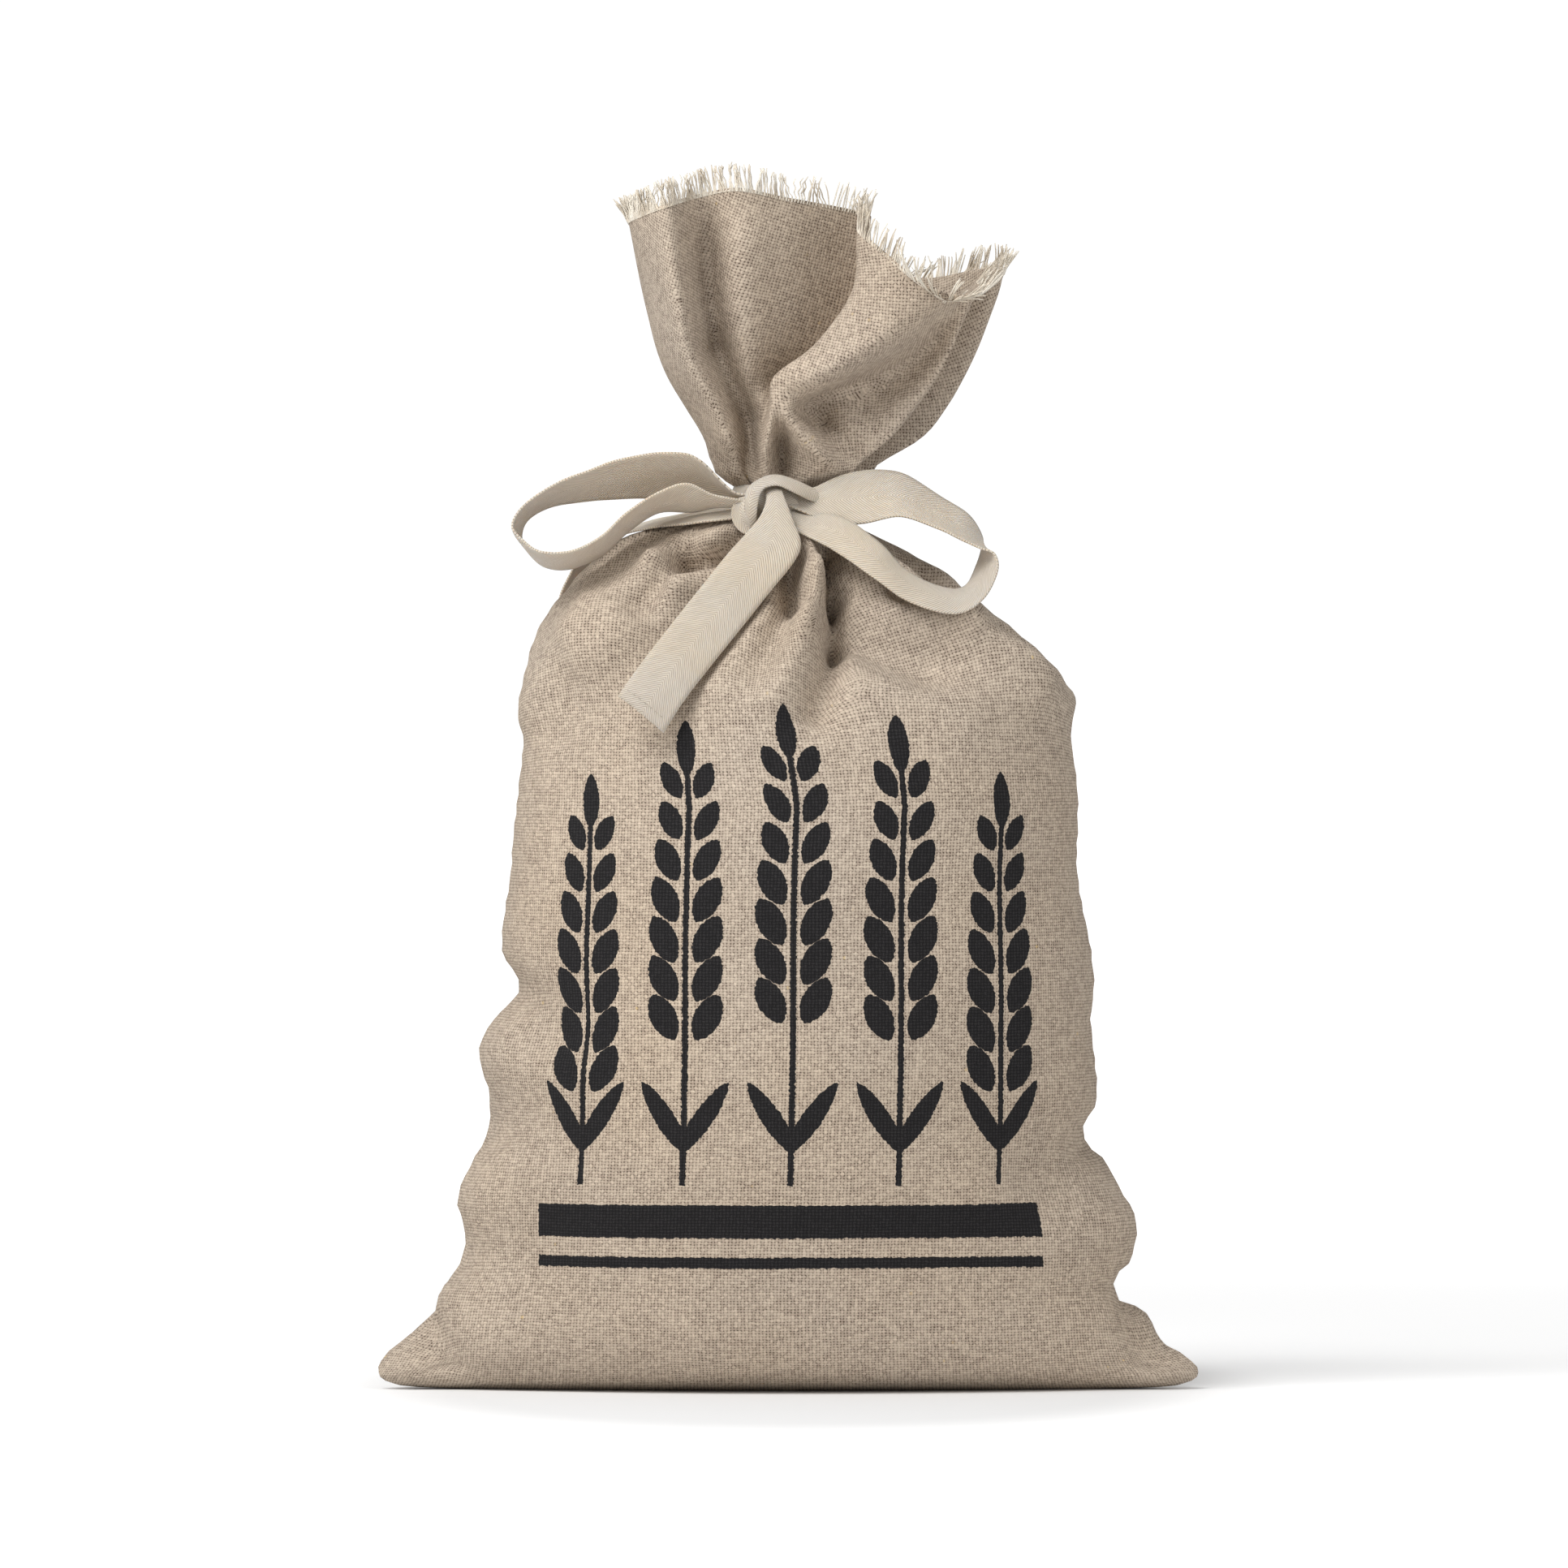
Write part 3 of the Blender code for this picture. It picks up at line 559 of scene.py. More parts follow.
# soft ridges (last number above 0) and troughs (below 0) as seen from the front: x, z and width at each end
bagCreases = tuple(Crease("front", *row) for row in (
    (-131, 27, 5, -122, 6, 8, -6.0),
    (121, 37, 5, 128, 14, 9, -4.5),
    (-126, 50, 8, -96, 40, 16, -2.5),
    (121, 60, 9, 96, 48, 16, 2.5),
    (110, 91, 6, 92, 74, 15, -4.5),
    (-109, 91, 8, -90, 100, 14, -2.5),
    (-101, 144, 6, -84, 128, 14, -4.5),
    (-104, 122, 9, -84, 112, 14, 2.5),
    # the round fold right of the tail, with a deep valley on each side
    (6, 304, 4.0, 9, 286, 4.5, 8.0),
    (9, 286, 4.5, 6, 270, 5.5, 9.0),
    (6, 270, 5.5, -6, 246, 8, 6.5),
    (0, 298, 3.5, 2, 280, 4.5, -7.0),
    (2, 280, 4.5, -10, 258, 8, -4.0),
    (14, 300, 3.0, 17, 284, 3.5, -11.0),
    (17, 284, 3.5, 17, 268, 4.0, -11.5),
    (17, 268, 4.0, 10, 242, 6, -8.0),
    # right shoulder
    (22, 303, 4, 33, 285, 7, 4.5),
    (25, 268, 6, 50, 258, 9, -7.0),
    (26, 250, 8, 62, 238, 11, 2.5),
    (35, 288, 3, 39, 281, 3.5, -5.0),
    (37, 275, 5, 60, 269, 6, 7.0),
    (60, 269, 6, 88, 250, 7, 6.0),
    # left shoulder
    (-19, 306, 4, -46, 292, 5, 6.5),
    (-46, 292, 5, -74, 266, 8, 5.5),
    (-18, 297, 3.5, -38, 296, 4, -11.0),
    (-36, 295, 4, -52, 278, 6, -7.5),
    (-18, 290, 4, -40, 285, 5, 5.0),
    (-40, 285, 5, -70, 258, 8, 5.5),
    (-16, 282, 5, -36, 260, 8, -7.5),
    (-70, 280, 6, -91, 240, 8, 3.5),
    (-78, 262, 6, -82, 236, 9, -3.5),
    (-8, 276, 5, -24, 250, 9, 3.0),
)) + tuple(Crease("back", *row) for row in (
    (20, 298, 5, 55, 262, 13, 4.0),
    (2, 300, 4, 8, 248, 12, 4.5),
    (10, 292, 4, 28, 256, 11, -4.0),
    (-16, 302, 4, -30, 254, 12, 4.0),
    (-8, 294, 4, -12, 258, 10, -4.0),
    (-34, 300, 5, -70, 262, 11, 3.5),
    (-30, 292, 5, -50, 262, 10, -3.5),
    (104, 236, 8, 78, 214, 16, -3.0),
    (-101, 144, 8, -76, 126, 15, -4.0),
    (110, 92, 8, 84, 80, 15, -4.0),
    (-128, 32, 6, -108, 20, 11, -4.5),
    (122, 37, 6, 106, 24, 11, -4.5),
))

# the flared mouth's fold lines: place round the cloth, then x and y at each level, then the rim
mouthHeights = (329, 338, 350, 360, 370, 382)
mouthFolds = (
    # place, 329, 338, 350, 360, 370, 382, rim x y z
    (0.000, -27, 0, -30, 0, -37, 0, -43, 0, -47, 0, -50, 0, -57, -4, 416),
    (0.050, -24, -8, -27, -11, -33, -14, -39, -17, -43, -19, -45, -21, -52, -25, 418),
    (0.095, -19, -13, -21, -18, -26, -22, -32, -26, -36, -29, -38, -32, -43, -37, 421),
    (0.145, -15, -7, -14, -5, -18, -7, -23, -9, -26, -11, -28, -13, -31, -19, 425),
    (0.185, -12, -9, -12, -8, -13, -10, -16, -12, -17, -15, -18, -19, -18, -25, 427),
    (0.225, -11, -12, -10, -14, -10, -11, -10, -8, -5, -9, -3, -12, -2, -19, 424),
    (0.275, -10, -15, -9, -17, -7, -10, -1, -4, 15, -2, 24, -1, 28, -5, 418),
    (0.315, -8, -16, -7, -20, -6, -20, -5, -22, 8, -25, 18, -28, 25, -33, 412),
    (0.345, -3, -8, -2, -10, -3, -22, 6, -28, 21, -33, 30, -37, 35, -40, 403),
    (0.375, 10, -17, 5, -21, 2, -23, 17, -28, 34, -33, 47, -38, 46, -44, 393),
    (0.405, 17, -12, 14, -14, 9, -7, 27, -13, 44, -21, 54, -30, 55, -40, 387),
    (0.435, 22, -11, 25, -12, 27, -12, 40, -12, 50, -16, 58, -24, 63, -33, 388),
    (0.465, 25, -9, 36, -12, 46, -13, 53, -14, 58, -16, 63, -19, 70, -23, 391),
    (0.484, 20, 4, 29, 6, 39, 7, 46, 8, 51, 8, 57, 6, 67, -2, 394),
    (0.505, 30, 7, 44, 9, 54, 10, 60, 11, 65, 10, 70, 8, 76, 2, 397),
    (0.550, 28, 11, 41, 14, 51, 16, 57, 18, 61, 19, 65, 20, 70, 20, 399),
    (0.620, 22, 15, 30, 20, 35, 25, 40, 30, 42, 33, 44, 36, 48, 42, 396),
    (0.690, 9, 13, 14, 15, 16, 20, 18, 25, 19, 28, 20, 31, 22, 36, 403),
    (0.760, -2, 17, 0, 22, -1, 29, -2, 35, -3, 38, -3, 42, -4, 50, 410),
    (0.830, -11, 13, -12, 15, -16, 19, -20, 23, -22, 26, -24, 28, -27, 33, 413),
    (0.910, -21, 11, -24, 15, -31, 19, -36, 23, -39, 26, -42, 29, -48, 34, 415),
)

# small folds of the mouth's front above the neck
mouthCreases = tuple(Crease("front", *row) for row in (
    (-6, 324, 2.5, -6, 350, 4, 3.0),
    (-1, 324, 2.2, -3, 336, 3, -4.5),
    (-11, 328, 2.5, -16, 344, 4, -4.0),
    (19, 326, 3.5, -2, 346, 4, 4.0),
    (4, 352, 4, 12, 345, 4.5, -4.5),
    (26, 330, 3.5, 14, 342, 4, -3.0),
    (-12, 345, 4, -26, 371, 5, -5.0),
    (-26, 371, 5, -31, 425, 6, -5.0),
    (30, 352, 7, 52, 376, 6, -5.0),
    (6, 358, 4, 34, 374, 5, 3.0),
    (-22, 338, 4, -36, 380, 7, 2.5),
    (-12, 362, 6, -14, 408, 9, 2.5),
))

bagCloth = dict(
    thickness=0.8, columns=236, crowding=0.35, lowStep=3.4, highStep=2.0, highFrom=236.0, mouthRows=38,
    backAway=300.0, mouthUp=420.0, mouthFold=0.484, easeFrom=215.0,
    neckX=-6.0, neckFoot=313.5, neckTop=319.5, bulgeAt=324.0, bulge=0.78,
    pleatCount=9, pleatDepth=2.1, pleatFrom=290.0,
    earLift=0.8, earForward=12.0, earStart=105.0, earRun=38.0, earHeight=24.0,
    baseRows=((0.86, 0.0), (0.885, 0.22), (0.91, 0.45), (0.933, 0.66), (0.955, 0.85)),
    slack=0.5, slackSize=34.0, fine=0.12, fineSize=9.0,
    seamSink=0.9, seamWide=1.6, seamPucker=9.0, puckerWide=7.0, puckerHigh=0.30,
    grooveDepth=10.0, grooveWide=0.020, grooveRidge=3.5, ridgeAside=0.042,
    grooveHeights=(250.0, 264.0, 276.0, 290.0), groovePlaces=(0.472, 0.455, 0.440, 0.425),
)


def pleats(place, height):
    v = bagCloth
    depth = v["pleatDepth"] * smooth((height - v["pleatFrom"]) / (v["neckFoot"] - v["pleatFrom"]))
    turn = 2 * pi * v["pleatCount"] * (place - 0.07) + 1.1 * np.sin(4 * pi * place + 0.6)
    return depth * (np.cos(turn) + 0.35 * np.cos(2.3 * turn + 1.0))


def earShare(x, height):
    v = bagCloth
    return smooth((np.abs(x) - v["earStart"]) / v["earRun"]) * (1 - smooth(height / v["earHeight"]))


def plainWall(place, height):
    rows = np.array(bagSections, float)
    left, right, front, back, point = np.moveaxis(through(rows[:, 0], rows[:, 1:], height), -1, 0)
    # the tucks at the sides pull only the cloth near them
    calm = np.array(calmSides, float)
    calmLeft, calmRight = np.moveaxis(through(calm[:, 0], calm[:, 1:], np.minimum(height, 246.0)), -1, 0)
    body = 1 - smooth((height - 225.0) / 21.0)
    calmLeft, calmRight = left + (calmLeft - left) * body, right + (calmRight - right) * body
    turn = 2 * pi * place
    out = pleats(place, height)
    toward = np.sin(turn)
    over = np.cos(turn)
    pull = np.where(over > 0, left - calmLeft, right - calmRight) * np.abs(over) ** 5
    x = (calmLeft + calmRight) / 2 - ((calmRight - calmLeft) / 2 + out) * over + pull
    depth = np.where(toward > 0, front, back) + out
    y = -np.sign(toward) * np.abs(toward) ** point * depth
    ears = earShare(x, height)
    return np.stack([x, y - bagCloth["earForward"] * ears, height + bagCloth["earLift"] * ears], -1)


def creaseHeight(points, creases):
    total = np.zeros(points.shape[:-1])
    seen = points[..., [0, 2]]
    for crease in creases:
        start = np.array([crease.x0, crease.z0])
        run = np.array([crease.x1, crease.z1]) - start
        share = np.clip(((seen - start) @ run) / (run @ run), 0.0, 1.0)
        away = np.linalg.norm(seen - start - share[..., None] * run, axis=-1)
        width = crease.width0 + share * (crease.width1 - crease.width0)
        facing = -1.0 if crease.side == "front" else 1.0
        onSide = smooth(0.5 + facing * points[..., 1] / 16.0)
        total += crease.height * np.exp(-((away / width) ** 2)) * onSide
    return total


def bagWall(place, height):
    near = 0.001
    points = plainWall(place, height)
    along = plainWall(place + near, height) - plainWall(place - near, height)
    up = plainWall(place, height + near) - plainWall(place, height - near)
    normal = np.cross(along, up)
    normal /= np.maximum(np.linalg.norm(normal, axis=-1, keepdims=True), 1e-12)
    held = smooth((height - 0.5) / 8.0) * (1 - smooth((height - 299.5) / 12.0))
    v = bagCloth
    slack = v["slack"] * softNoise(points, v["slackSize"], 1.0) + v["fine"] * softNoise(points, v["fineSize"], 2.0)
    # at the right shoulder the back panel stands up behind the front one
    at = np.interp(height, v["grooveHeights"], v["groovePlaces"])
    span = smooth((height - 248.0) / 10.0) * (1 - smooth((height - 288.0) / 12.0))
    groove = -v["grooveDepth"] * np.exp(-(((place - at) / v["grooveWide"]) ** 2))
    ridge = v["grooveRidge"] * np.exp(-(((place - at + v["ridgeAside"]) / (v["grooveWide"] * 1.2)) ** 2))
    slack = slack + (groove + ridge) * span
    # the side seams lie in a little, with small puckers along them
    toSeam = np.abs(points[..., 1])
    atSide = np.abs(np.cos(2 * pi * place)) > 0.7
    seam = np.exp(-((toSeam / v["seamWide"]) ** 2)) * -v["seamSink"]
    ripple = np.sin(2 * pi * height / v["seamPucker"] + 1.5 * softNoise(points, 30.0, 5.0))
    pucker = np.exp(-((toSeam / v["puckerWide"]) ** 2)) * v["puckerHigh"] * ripple
    slack = slack + np.where(atSide, seam + pucker, 0.0)
    return points + normal * ((creaseHeight(points, bagCreases) + slack) * held)[..., None]


def bagMouth(place, shares):
    v = bagCloth
    rows = np.array(mouthFolds, float)
    wrapped = np.concatenate([rows[-3:], rows, rows[:3]])
    wrapped[:3, 0] -= 1.0
    wrapped[-3:, 0] += 1.0
    folds = through(wrapped[:, 0], wrapped[:, 1:], place)
    neck = plainWall(place, np.full(place.shape, v["neckTop"]))
    bulge = np.stack([folds[:, 0], folds[:, 1], np.full(place.shape, v["bulgeAt"])], -1)
    line = [neck, neck + (bulge - neck) * (v["bulge"], v["bulge"], 1.0)]
    for level, height in enumerate(mouthHeights):
        flatRing = folds[:, 2 * level:2 * level + 2]
        line.append(np.concatenate([flatRing, np.full((len(place), 1), float(height))], -1))
    line.append(folds[:, -3:])
    knots = (0.0, 0.035, 0.08, 0.17, 0.29, 0.39, 0.49, 0.60, 1.0)
    shares = np.asarray(shares, float)
    points = through(knots, np.stack(line), shares)
    held = smooth(shares / 0.1) * (1 - smooth((shares - 0.8) / 0.2))
    points[..., 1] -= creaseHeight(points, mouthCreases) * held[:, None]
    return points


def placesAround(steps):
    even = np.arange(steps + 1) / steps
    return even + bagCloth["crowding"] * np.sin(4 * pi * even) / (4 * pi)


def baseRowsAt(place):
    lowest = bagSections[0]
    rows = []
    for lengthShare, depthShare in bagCloth["baseRows"]:
        turn = 2 * pi * place
        x = lowest.left * lengthShare * np.cos(turn)
        toward = np.sin(turn)
        y = -np.sign(toward) * np.abs(toward) ** lowest.point * lowest.front * depthShare
        ears = earShare(x, 0.0)
        rows.append(np.stack([x, y - bagCloth["earForward"] * ears, bagCloth["earLift"] * ears], -1))
    return rows


def clothPoints():
    v = bagCloth
    place = placesAround(v["columns"])
    heights = np.concatenate([
        [0.5, 1.2, 2.2, 3.6, 5.2, 7.2],
        np.linspace(9.4, v["highFrom"], int((v["highFrom"] - 9.4) / v["lowStep"])),
        np.arange(v["highFrom"] + v["highStep"], v["neckTop"] + 0.1, v["highStep"]),
    ])
    rows = baseRowsAt(place)
    rows += [bagWall(place, np.full(place.shape, h)) for h in heights]
    rows += list(bagMouth(place, np.arange(1, v["mouthRows"] + 1) / v["mouthRows"]))
    points = np.stack(rows)
    points[:, -1] = points[:, 0]
    return points, place


def squareSteps(points):
    # how far each row of points lies from the one below, measured square to the row
    along = np.gradient(points, axis=1)
    along = along[1:] + along[:-1]
    along /= np.maximum(np.linalg.norm(along, axis=-1, keepdims=True), 1e-9)
    steps = np.diff(points, axis=0)
    steps = steps - along * np.sum(steps * along, axis=-1, keepdims=True)
    steps = np.linalg.norm(steps, axis=-1)
    return np.concatenate([np.zeros_like(steps[:1]), np.cumsum(steps, axis=0)])


def eased(points, flat, held, rounds):
    # moves the points of a flat pattern until its threads are as long as on the bag
    rows, columns = flat.shape[:2]
    links = []
    for up, over in ((0, 1), (1, 0), (1, 1), (1, -1)):
        a = (slice(0, rows - up), slice(max(0, -over), columns - max(0, over)))
        b = (slice(up, rows), slice(max(0, over), columns - max(0, -over)))
        links.append((a, b, np.linalg.norm(points[b] - points[a], axis=-1)))
    count = np.zeros((rows, columns, 1))
    for a, b, _ in links:
        count[a] += 1
        count[b] += 1
    free = (1.5 / count) * ~held[..., None]
    for _ in range(rounds):
        move = np.zeros_like(flat)
        for a, b, length in links:
            way = flat[b] - flat[a]
            now = np.maximum(np.linalg.norm(way, axis=-1), 1e-6)
            pull = way * ((now - length) / now / 2)[..., None]
            move[a] += pull
            move[b] -= pull
        flat = flat + move * free
    return flat


def flatPattern(points, middle, held):
    # lays a panel flat, first roughly on few of its points, then on all of them
    around = lengthAlong(points, 1)
    up = np.broadcast_to(squareSteps(points).mean(axis=1, keepdims=True), around.shape)
    flat = np.stack([around - around[:, middle:middle + 1], up], axis=-1)
    rows, columns = flat.shape[:2]
    for step, rounds in ((8, 400), (4, 300), (2, 150), (1, 60)):
        rowAt = np.unique(np.append(np.arange(0, rows, step), rows - 1))
        columnAt = np.unique(np.append(np.arange(0, columns, step), columns - 1))
        pick = np.ix_(rowAt, columnAt)
        change = eased(points[pick], flat[pick], held[pick], rounds) - flat[pick]
        wide = np.stack([[np.interp(np.arange(columns), columnAt, line[:, axis]) for line in change]
                         for axis in (0, 1)], -1)
        full = np.stack([[np.interp(np.arange(rows), rowAt, wide[:, c, axis]) for c in range(columns)]
                         for axis in (0, 1)], -1)
        flat = flat + np.moveaxis(full, 0, 1) * ~held[..., None]
    return flat


def makeBag(material):
    v = bagCloth
    points, place = clothPoints()
    # four panels laid flat: front and back are sewn at the sides, and the mouth starts anew under the tape
    half, neck = v["columns"] // 2, len(points) - v["mouthRows"] - 2
    fold = int(np.argmin(np.abs(place - v["mouthFold"])))
    steady = np.arange(1, neck + 2) < np.argmax(points[:, half // 2, 2] > v["easeFrom"])
    held = np.repeat(steady[:, None], half + 1, axis=1)
    front = flatPattern(points[:neck + 1, :half + 1], half // 2, held)
    back = flatPattern(points[:neck + 1, half:], half // 2, held) + (v["backAway"], 0)
    mouth = points[neck:]
    free = np.zeros(mouth.shape[:2], bool)
    mouthFront = flatPattern(mouth[:, :fold + 1], fold // 2, free[:, :fold + 1])
    mouthBack = flatPattern(mouth[:, fold:], (v["columns"] - fold) // 2, free[:, fold:])

    def uvOf(row, at, first):
        if first[0] >= neck:
            spot = mouthFront[row - neck, at] if first[1] < fold else mouthBack[row - neck, at - fold]
            return spot[0] * mm, (spot[1] + v["mouthUp"]) * mm
        spot = front[row, at] if first[1] < half else back[row, at - half]
        return spot[0] * mm, spot[1] * mm

    bm = gridOn(points, uvOf, "cloth")
    bmesh.ops.remove_doubles(bm, verts=bm.verts, dist=0.00002)
    faceOutwards(bm)
    bag = finished("bagCloth", bm, material)
    addThickness(bag, v["thickness"], -1.0)
    return bag


# the frayed edge

frayedEdge = dict(
    threads=620, length=9.4, root=1.2, spread=0.17, thick=0.36, steps=5, seed=11, clump=4.0,
    taper=0.97, tipTaper=0.75,
)


def makeFringe(material):
    v = frayedEdge
    count = v["threads"]
    draw = np.random.default_rng(v["seed"])
    place = (np.arange(count) + draw.uniform(-0.2, 0.2, count)) / count
    inner, rim = bagMouth(place, (0.96, 1.0))
    onward = rim - inner
    onward /= np.linalg.norm(onward, axis=1, keepdims=True)
    along = np.roll(rim, -1, axis=0) - np.roll(rim, 1, axis=0)
    along /= np.linalg.norm(along, axis=1, keepdims=True)
    outward = np.cross(along, onward)
    bm = bmesh.new()
    roots = []
    for i in range(count):
        foot = rim[i] - onward[i] * v["root"]
        turn = draw.uniform(0, 2 * pi)
        corners = []
        for side in range(3):
            angle = turn + 2 * pi * side / 3
            corner = foot + v["thick"] * (along[i] * cos(angle) + outward[i] * sin(angle))
            corners.append(bm.verts.new(corner.tolist()))
        face = bm.faces.new(corners)
        face.normal_update()
        if face.normal.dot(Vector(onward[i].tolist())) < 0:
            face.normal_flip()
        roots.append(face)
    # neighbouring threads lean together in small clumps
    clumps = np.cumsum(draw.uniform(0.5, 1.5, count)) / v["clump"]
    group = np.floor(clumps).astype(int)
    lean = draw.normal(0, v["spread"], group.max() + 2)[group] + draw.normal(0, 0.05, count)
    tilt = draw.normal(0, 0.16, group.max() + 2)[group] + draw.normal(0, 0.10, count)
    reach = v["length"] * draw.uniform(0.80, 1.06, count) + v["root"]
    faces = roots
    for step in range(v["steps"]):
        faces = bmesh.ops.extrude_discrete_faces(bm, faces=faces)["faces"]
        thin = v["taper"] if step < v["steps"] - 1 else v["tipTaper"]
        for i, face in enumerate(faces):
            way = onward[i] + along[i] * lean[i] + outward[i] * tilt[i]
            way *= reach[i] / v["steps"] / np.linalg.norm(way)
            middle = face.calc_center_median()
            for vert in face.verts:
                vert.co = middle + (vert.co - middle) * thin + Vector(way.tolist())
        lean = lean * 1.2 + draw.normal(0, 0.05, count)
        tilt = tilt * 1.10 + draw.normal(0, 0.05, count)
    bmesh.ops.scale(bm, vec=(mm, mm, mm), verts=bm.verts)
    bmesh.ops.recalc_face_normals(bm, faces=bm.faces)
    return finished("frayedEdge", bm, material)


# the tape's bow

# each row is one edge's x y z, then the other's, from the knot outwards
leftLoop = (
    (-10, -17, 315, -10, -20, 320), (-19, -17, 315, -19, -21, 319), (-31, -12, 317, -31, -25, 330),
    (-41, -11, 317, -40, -27, 333), (-56, -11, 317, -56, -28, 331.5), (-71, -11, 316, -70, -29, 327),
    (-84, -11, 314, -84, -30, 321), (-92, -11, 310, -94, -30, 314), (-95, -11, 305, -98, -30, 307),
    (-94, -11, 300, -94, -30, 302), (-87, -12, 293, -88, -31, 298), (-77, -13, 292, -78, -32, 298),
    (-66, -15, 297, -67, -32, 303), (-56, -15, 306, -57, -32, 312), (-46, -15, 312, -46, -30, 319),
    (-34, -15, 312, -36, -28, 322), (-25, -17, 314, -26, -25, 318), (-15, -18, 313, -15, -22, 316),
)
rightLoop = (
    (-2, -17, 321, -2, -22, 315), (7, -17, 320, 5, -23, 312), (19, -14, 325, 16, -25, 308),
    (30, -13, 327, 27, -26, 308), (41, -13, 325.5, 40, -27, 310.5), (54, -13, 317.5, 53, -29, 306),
    (63, -14, 312, 62, -31, 302), (68, -14, 305, 68, -32, 299), (69, -15, 300, 73, -33, 297),
    (67, -17, 293, 74, -35, 291), (63, -24, 286, 69, -40, 281), (55, -31, 285, 59, -44, 276),
    (42, -34, 291, 43, -46, 280), (31, -33, 302, 28, -44, 290), (19, -26, 310, 15, -37, 299),
    (7, -20, 312, 5, -31, 304), (-1, -17, 315, -3, -23, 308),
)
frontTail = (
    (-8.5, -17, 314, -3, -17, 315), (-8.5, -21, 317.5, -2.5, -21, 319), (-8, -25.5, 318.5, -2.5, -25.5, 319.5),
    (-8, -28.5, 315, -1, -28.5, 315.5), (-10.5, -31, 309.5, 1.5, -31.5, 309), (-16.5, -35, 302.5, 4, -37, 298),
    (-24, -40, 294, -7, -42, 283), (-43, -54, 270, -27, -55, 258), (-53, -61, 257, -37, -62, 245),
    (-60, -66, 247, -44, -67, 234),
)
backTail = (
    (-12, -15.5, 315, -12, -20, 311), (-20, -11, 314.5, -20, -21, 309.5), (-34, -5, 312, -33, -20.5, 308),
    (-48, 7, 309, -48, -11, 306.5), (-59, 20, 305.5, -62, 2, 303), (-66, 33, 298, -75, 16, 295),
    (-68, 45, 282, -83, 31, 278), (-67, 57, 262, -85, 46, 259), (-66, 65, 242, -84, 56, 239),
)

bowTape = dict(width=20.0, thickness=0.75, cup=0.8, across=12, perRow=7, waver=0.25)


def stripPoints(rows, cup):
    v = bowTape
    table = np.array(rows, float)
    at = np.linspace(0, len(table) - 1, (len(table) - 1) * v["perRow"] + 1)
    edges = through(np.arange(len(table)), table, at)
    first, last = edges[:, :3], edges[:, 3:]
    facing = np.cross(np.gradient(first + last, axis=0), last - first)
    facing /= np.linalg.norm(facing, axis=1, keepdims=True)
    lines = []
    for share in np.linspace(0, 1, v["across"] + 1):
        lines.append(first + (last - first) * share + facing * (4 * cup * share * (1 - share)))
    points = np.stack(lines, axis=1)
    shake = v["waver"] * softNoise(points, 11.0, len(rows) * 1.7)
    return points + facing[:, None, :] * shake[..., None]


def addStrip(name, rows, material, cup=None):
    v = bowTape
    points = stripPoints(rows, v["cup"] if cup is None else cup)
    middle = lengthAlong(points[:, [v["across"] // 2]], 0)[:, 0]
    over = lengthAlong(points, 1)
    # the ribs keep their size where the tape is drawn together
    over = over - over[:, -1:] / 2 + v["width"] / 2

    def uvOf(row, column, _):
        return over[row, column] * mm, middle[row] * mm

    bm = gridOn(points, uvOf, "tape")
    bmesh.ops.recalc_face_normals(bm, faces=bm.faces)
    strip = finished(name, bm, material)
    addThickness(strip, v["thickness"], 0.0)
    return strip


# the front tail's end is turned in and sewn across; here only the stitches across it are made
hemSewing = dict(fromEnd=3.8, stitch=1.7, gap=0.8, thick=0.17, margin=0.9, paintedGlow=0.10, endRows=14)


def addHem(rows, threadOf):
    v, tape = hemSewing, bowTape
    ends = stripPoints(rows, tape["cup"])[-v["endRows"]:]
    run = lengthAlong(ends[:, [tape["across"] // 2]], 0)[:, 0]
    backTo = run[-1] - v["fromEnd"]
    line = np.array([[np.interp(backTo, run, ends[:, column, axis]) for axis in range(3)]
                     for column in range(ends.shape[1])])
    over = lengthAlong(line[None], 1)[0]
    facing = np.cross(ends[-1, 0] - line[0], line[-1] - line[0])
    facing /= np.linalg.norm(facing)
    if facing[1] > 0:
        facing = -facing
    bm = bmesh.new()
    start = v["margin"]
    while start + v["stitch"] < over[-1] - v["margin"]:
        near, far = (np.array([np.interp(at, over, line[:, axis]) for axis in range(3)])
                     for at in (start, start + v["stitch"]))
        way = (far - near) / np.linalg.norm(far - near)
        side = np.cross(facing, way)
        centre = (near + far) / 2 + facing * (tape["thickness"] / 2 + v["paintedGlow"])
        made = bmesh.ops.create_uvsphere(bm, u_segments=6, v_segments=5, radius=1.0)
        for vert in made["verts"]:
            x, y, z = vert.co
            moved = centre + way * (x * v["stitch"] / 2) + side * (y * v["thick"]) + facing * (z * v["thick"])
            vert.co = Vector(moved.tolist()) * mm
        start += v["stitch"] + v["gap"]
    return finished("hemStitches", bm, threadOf)


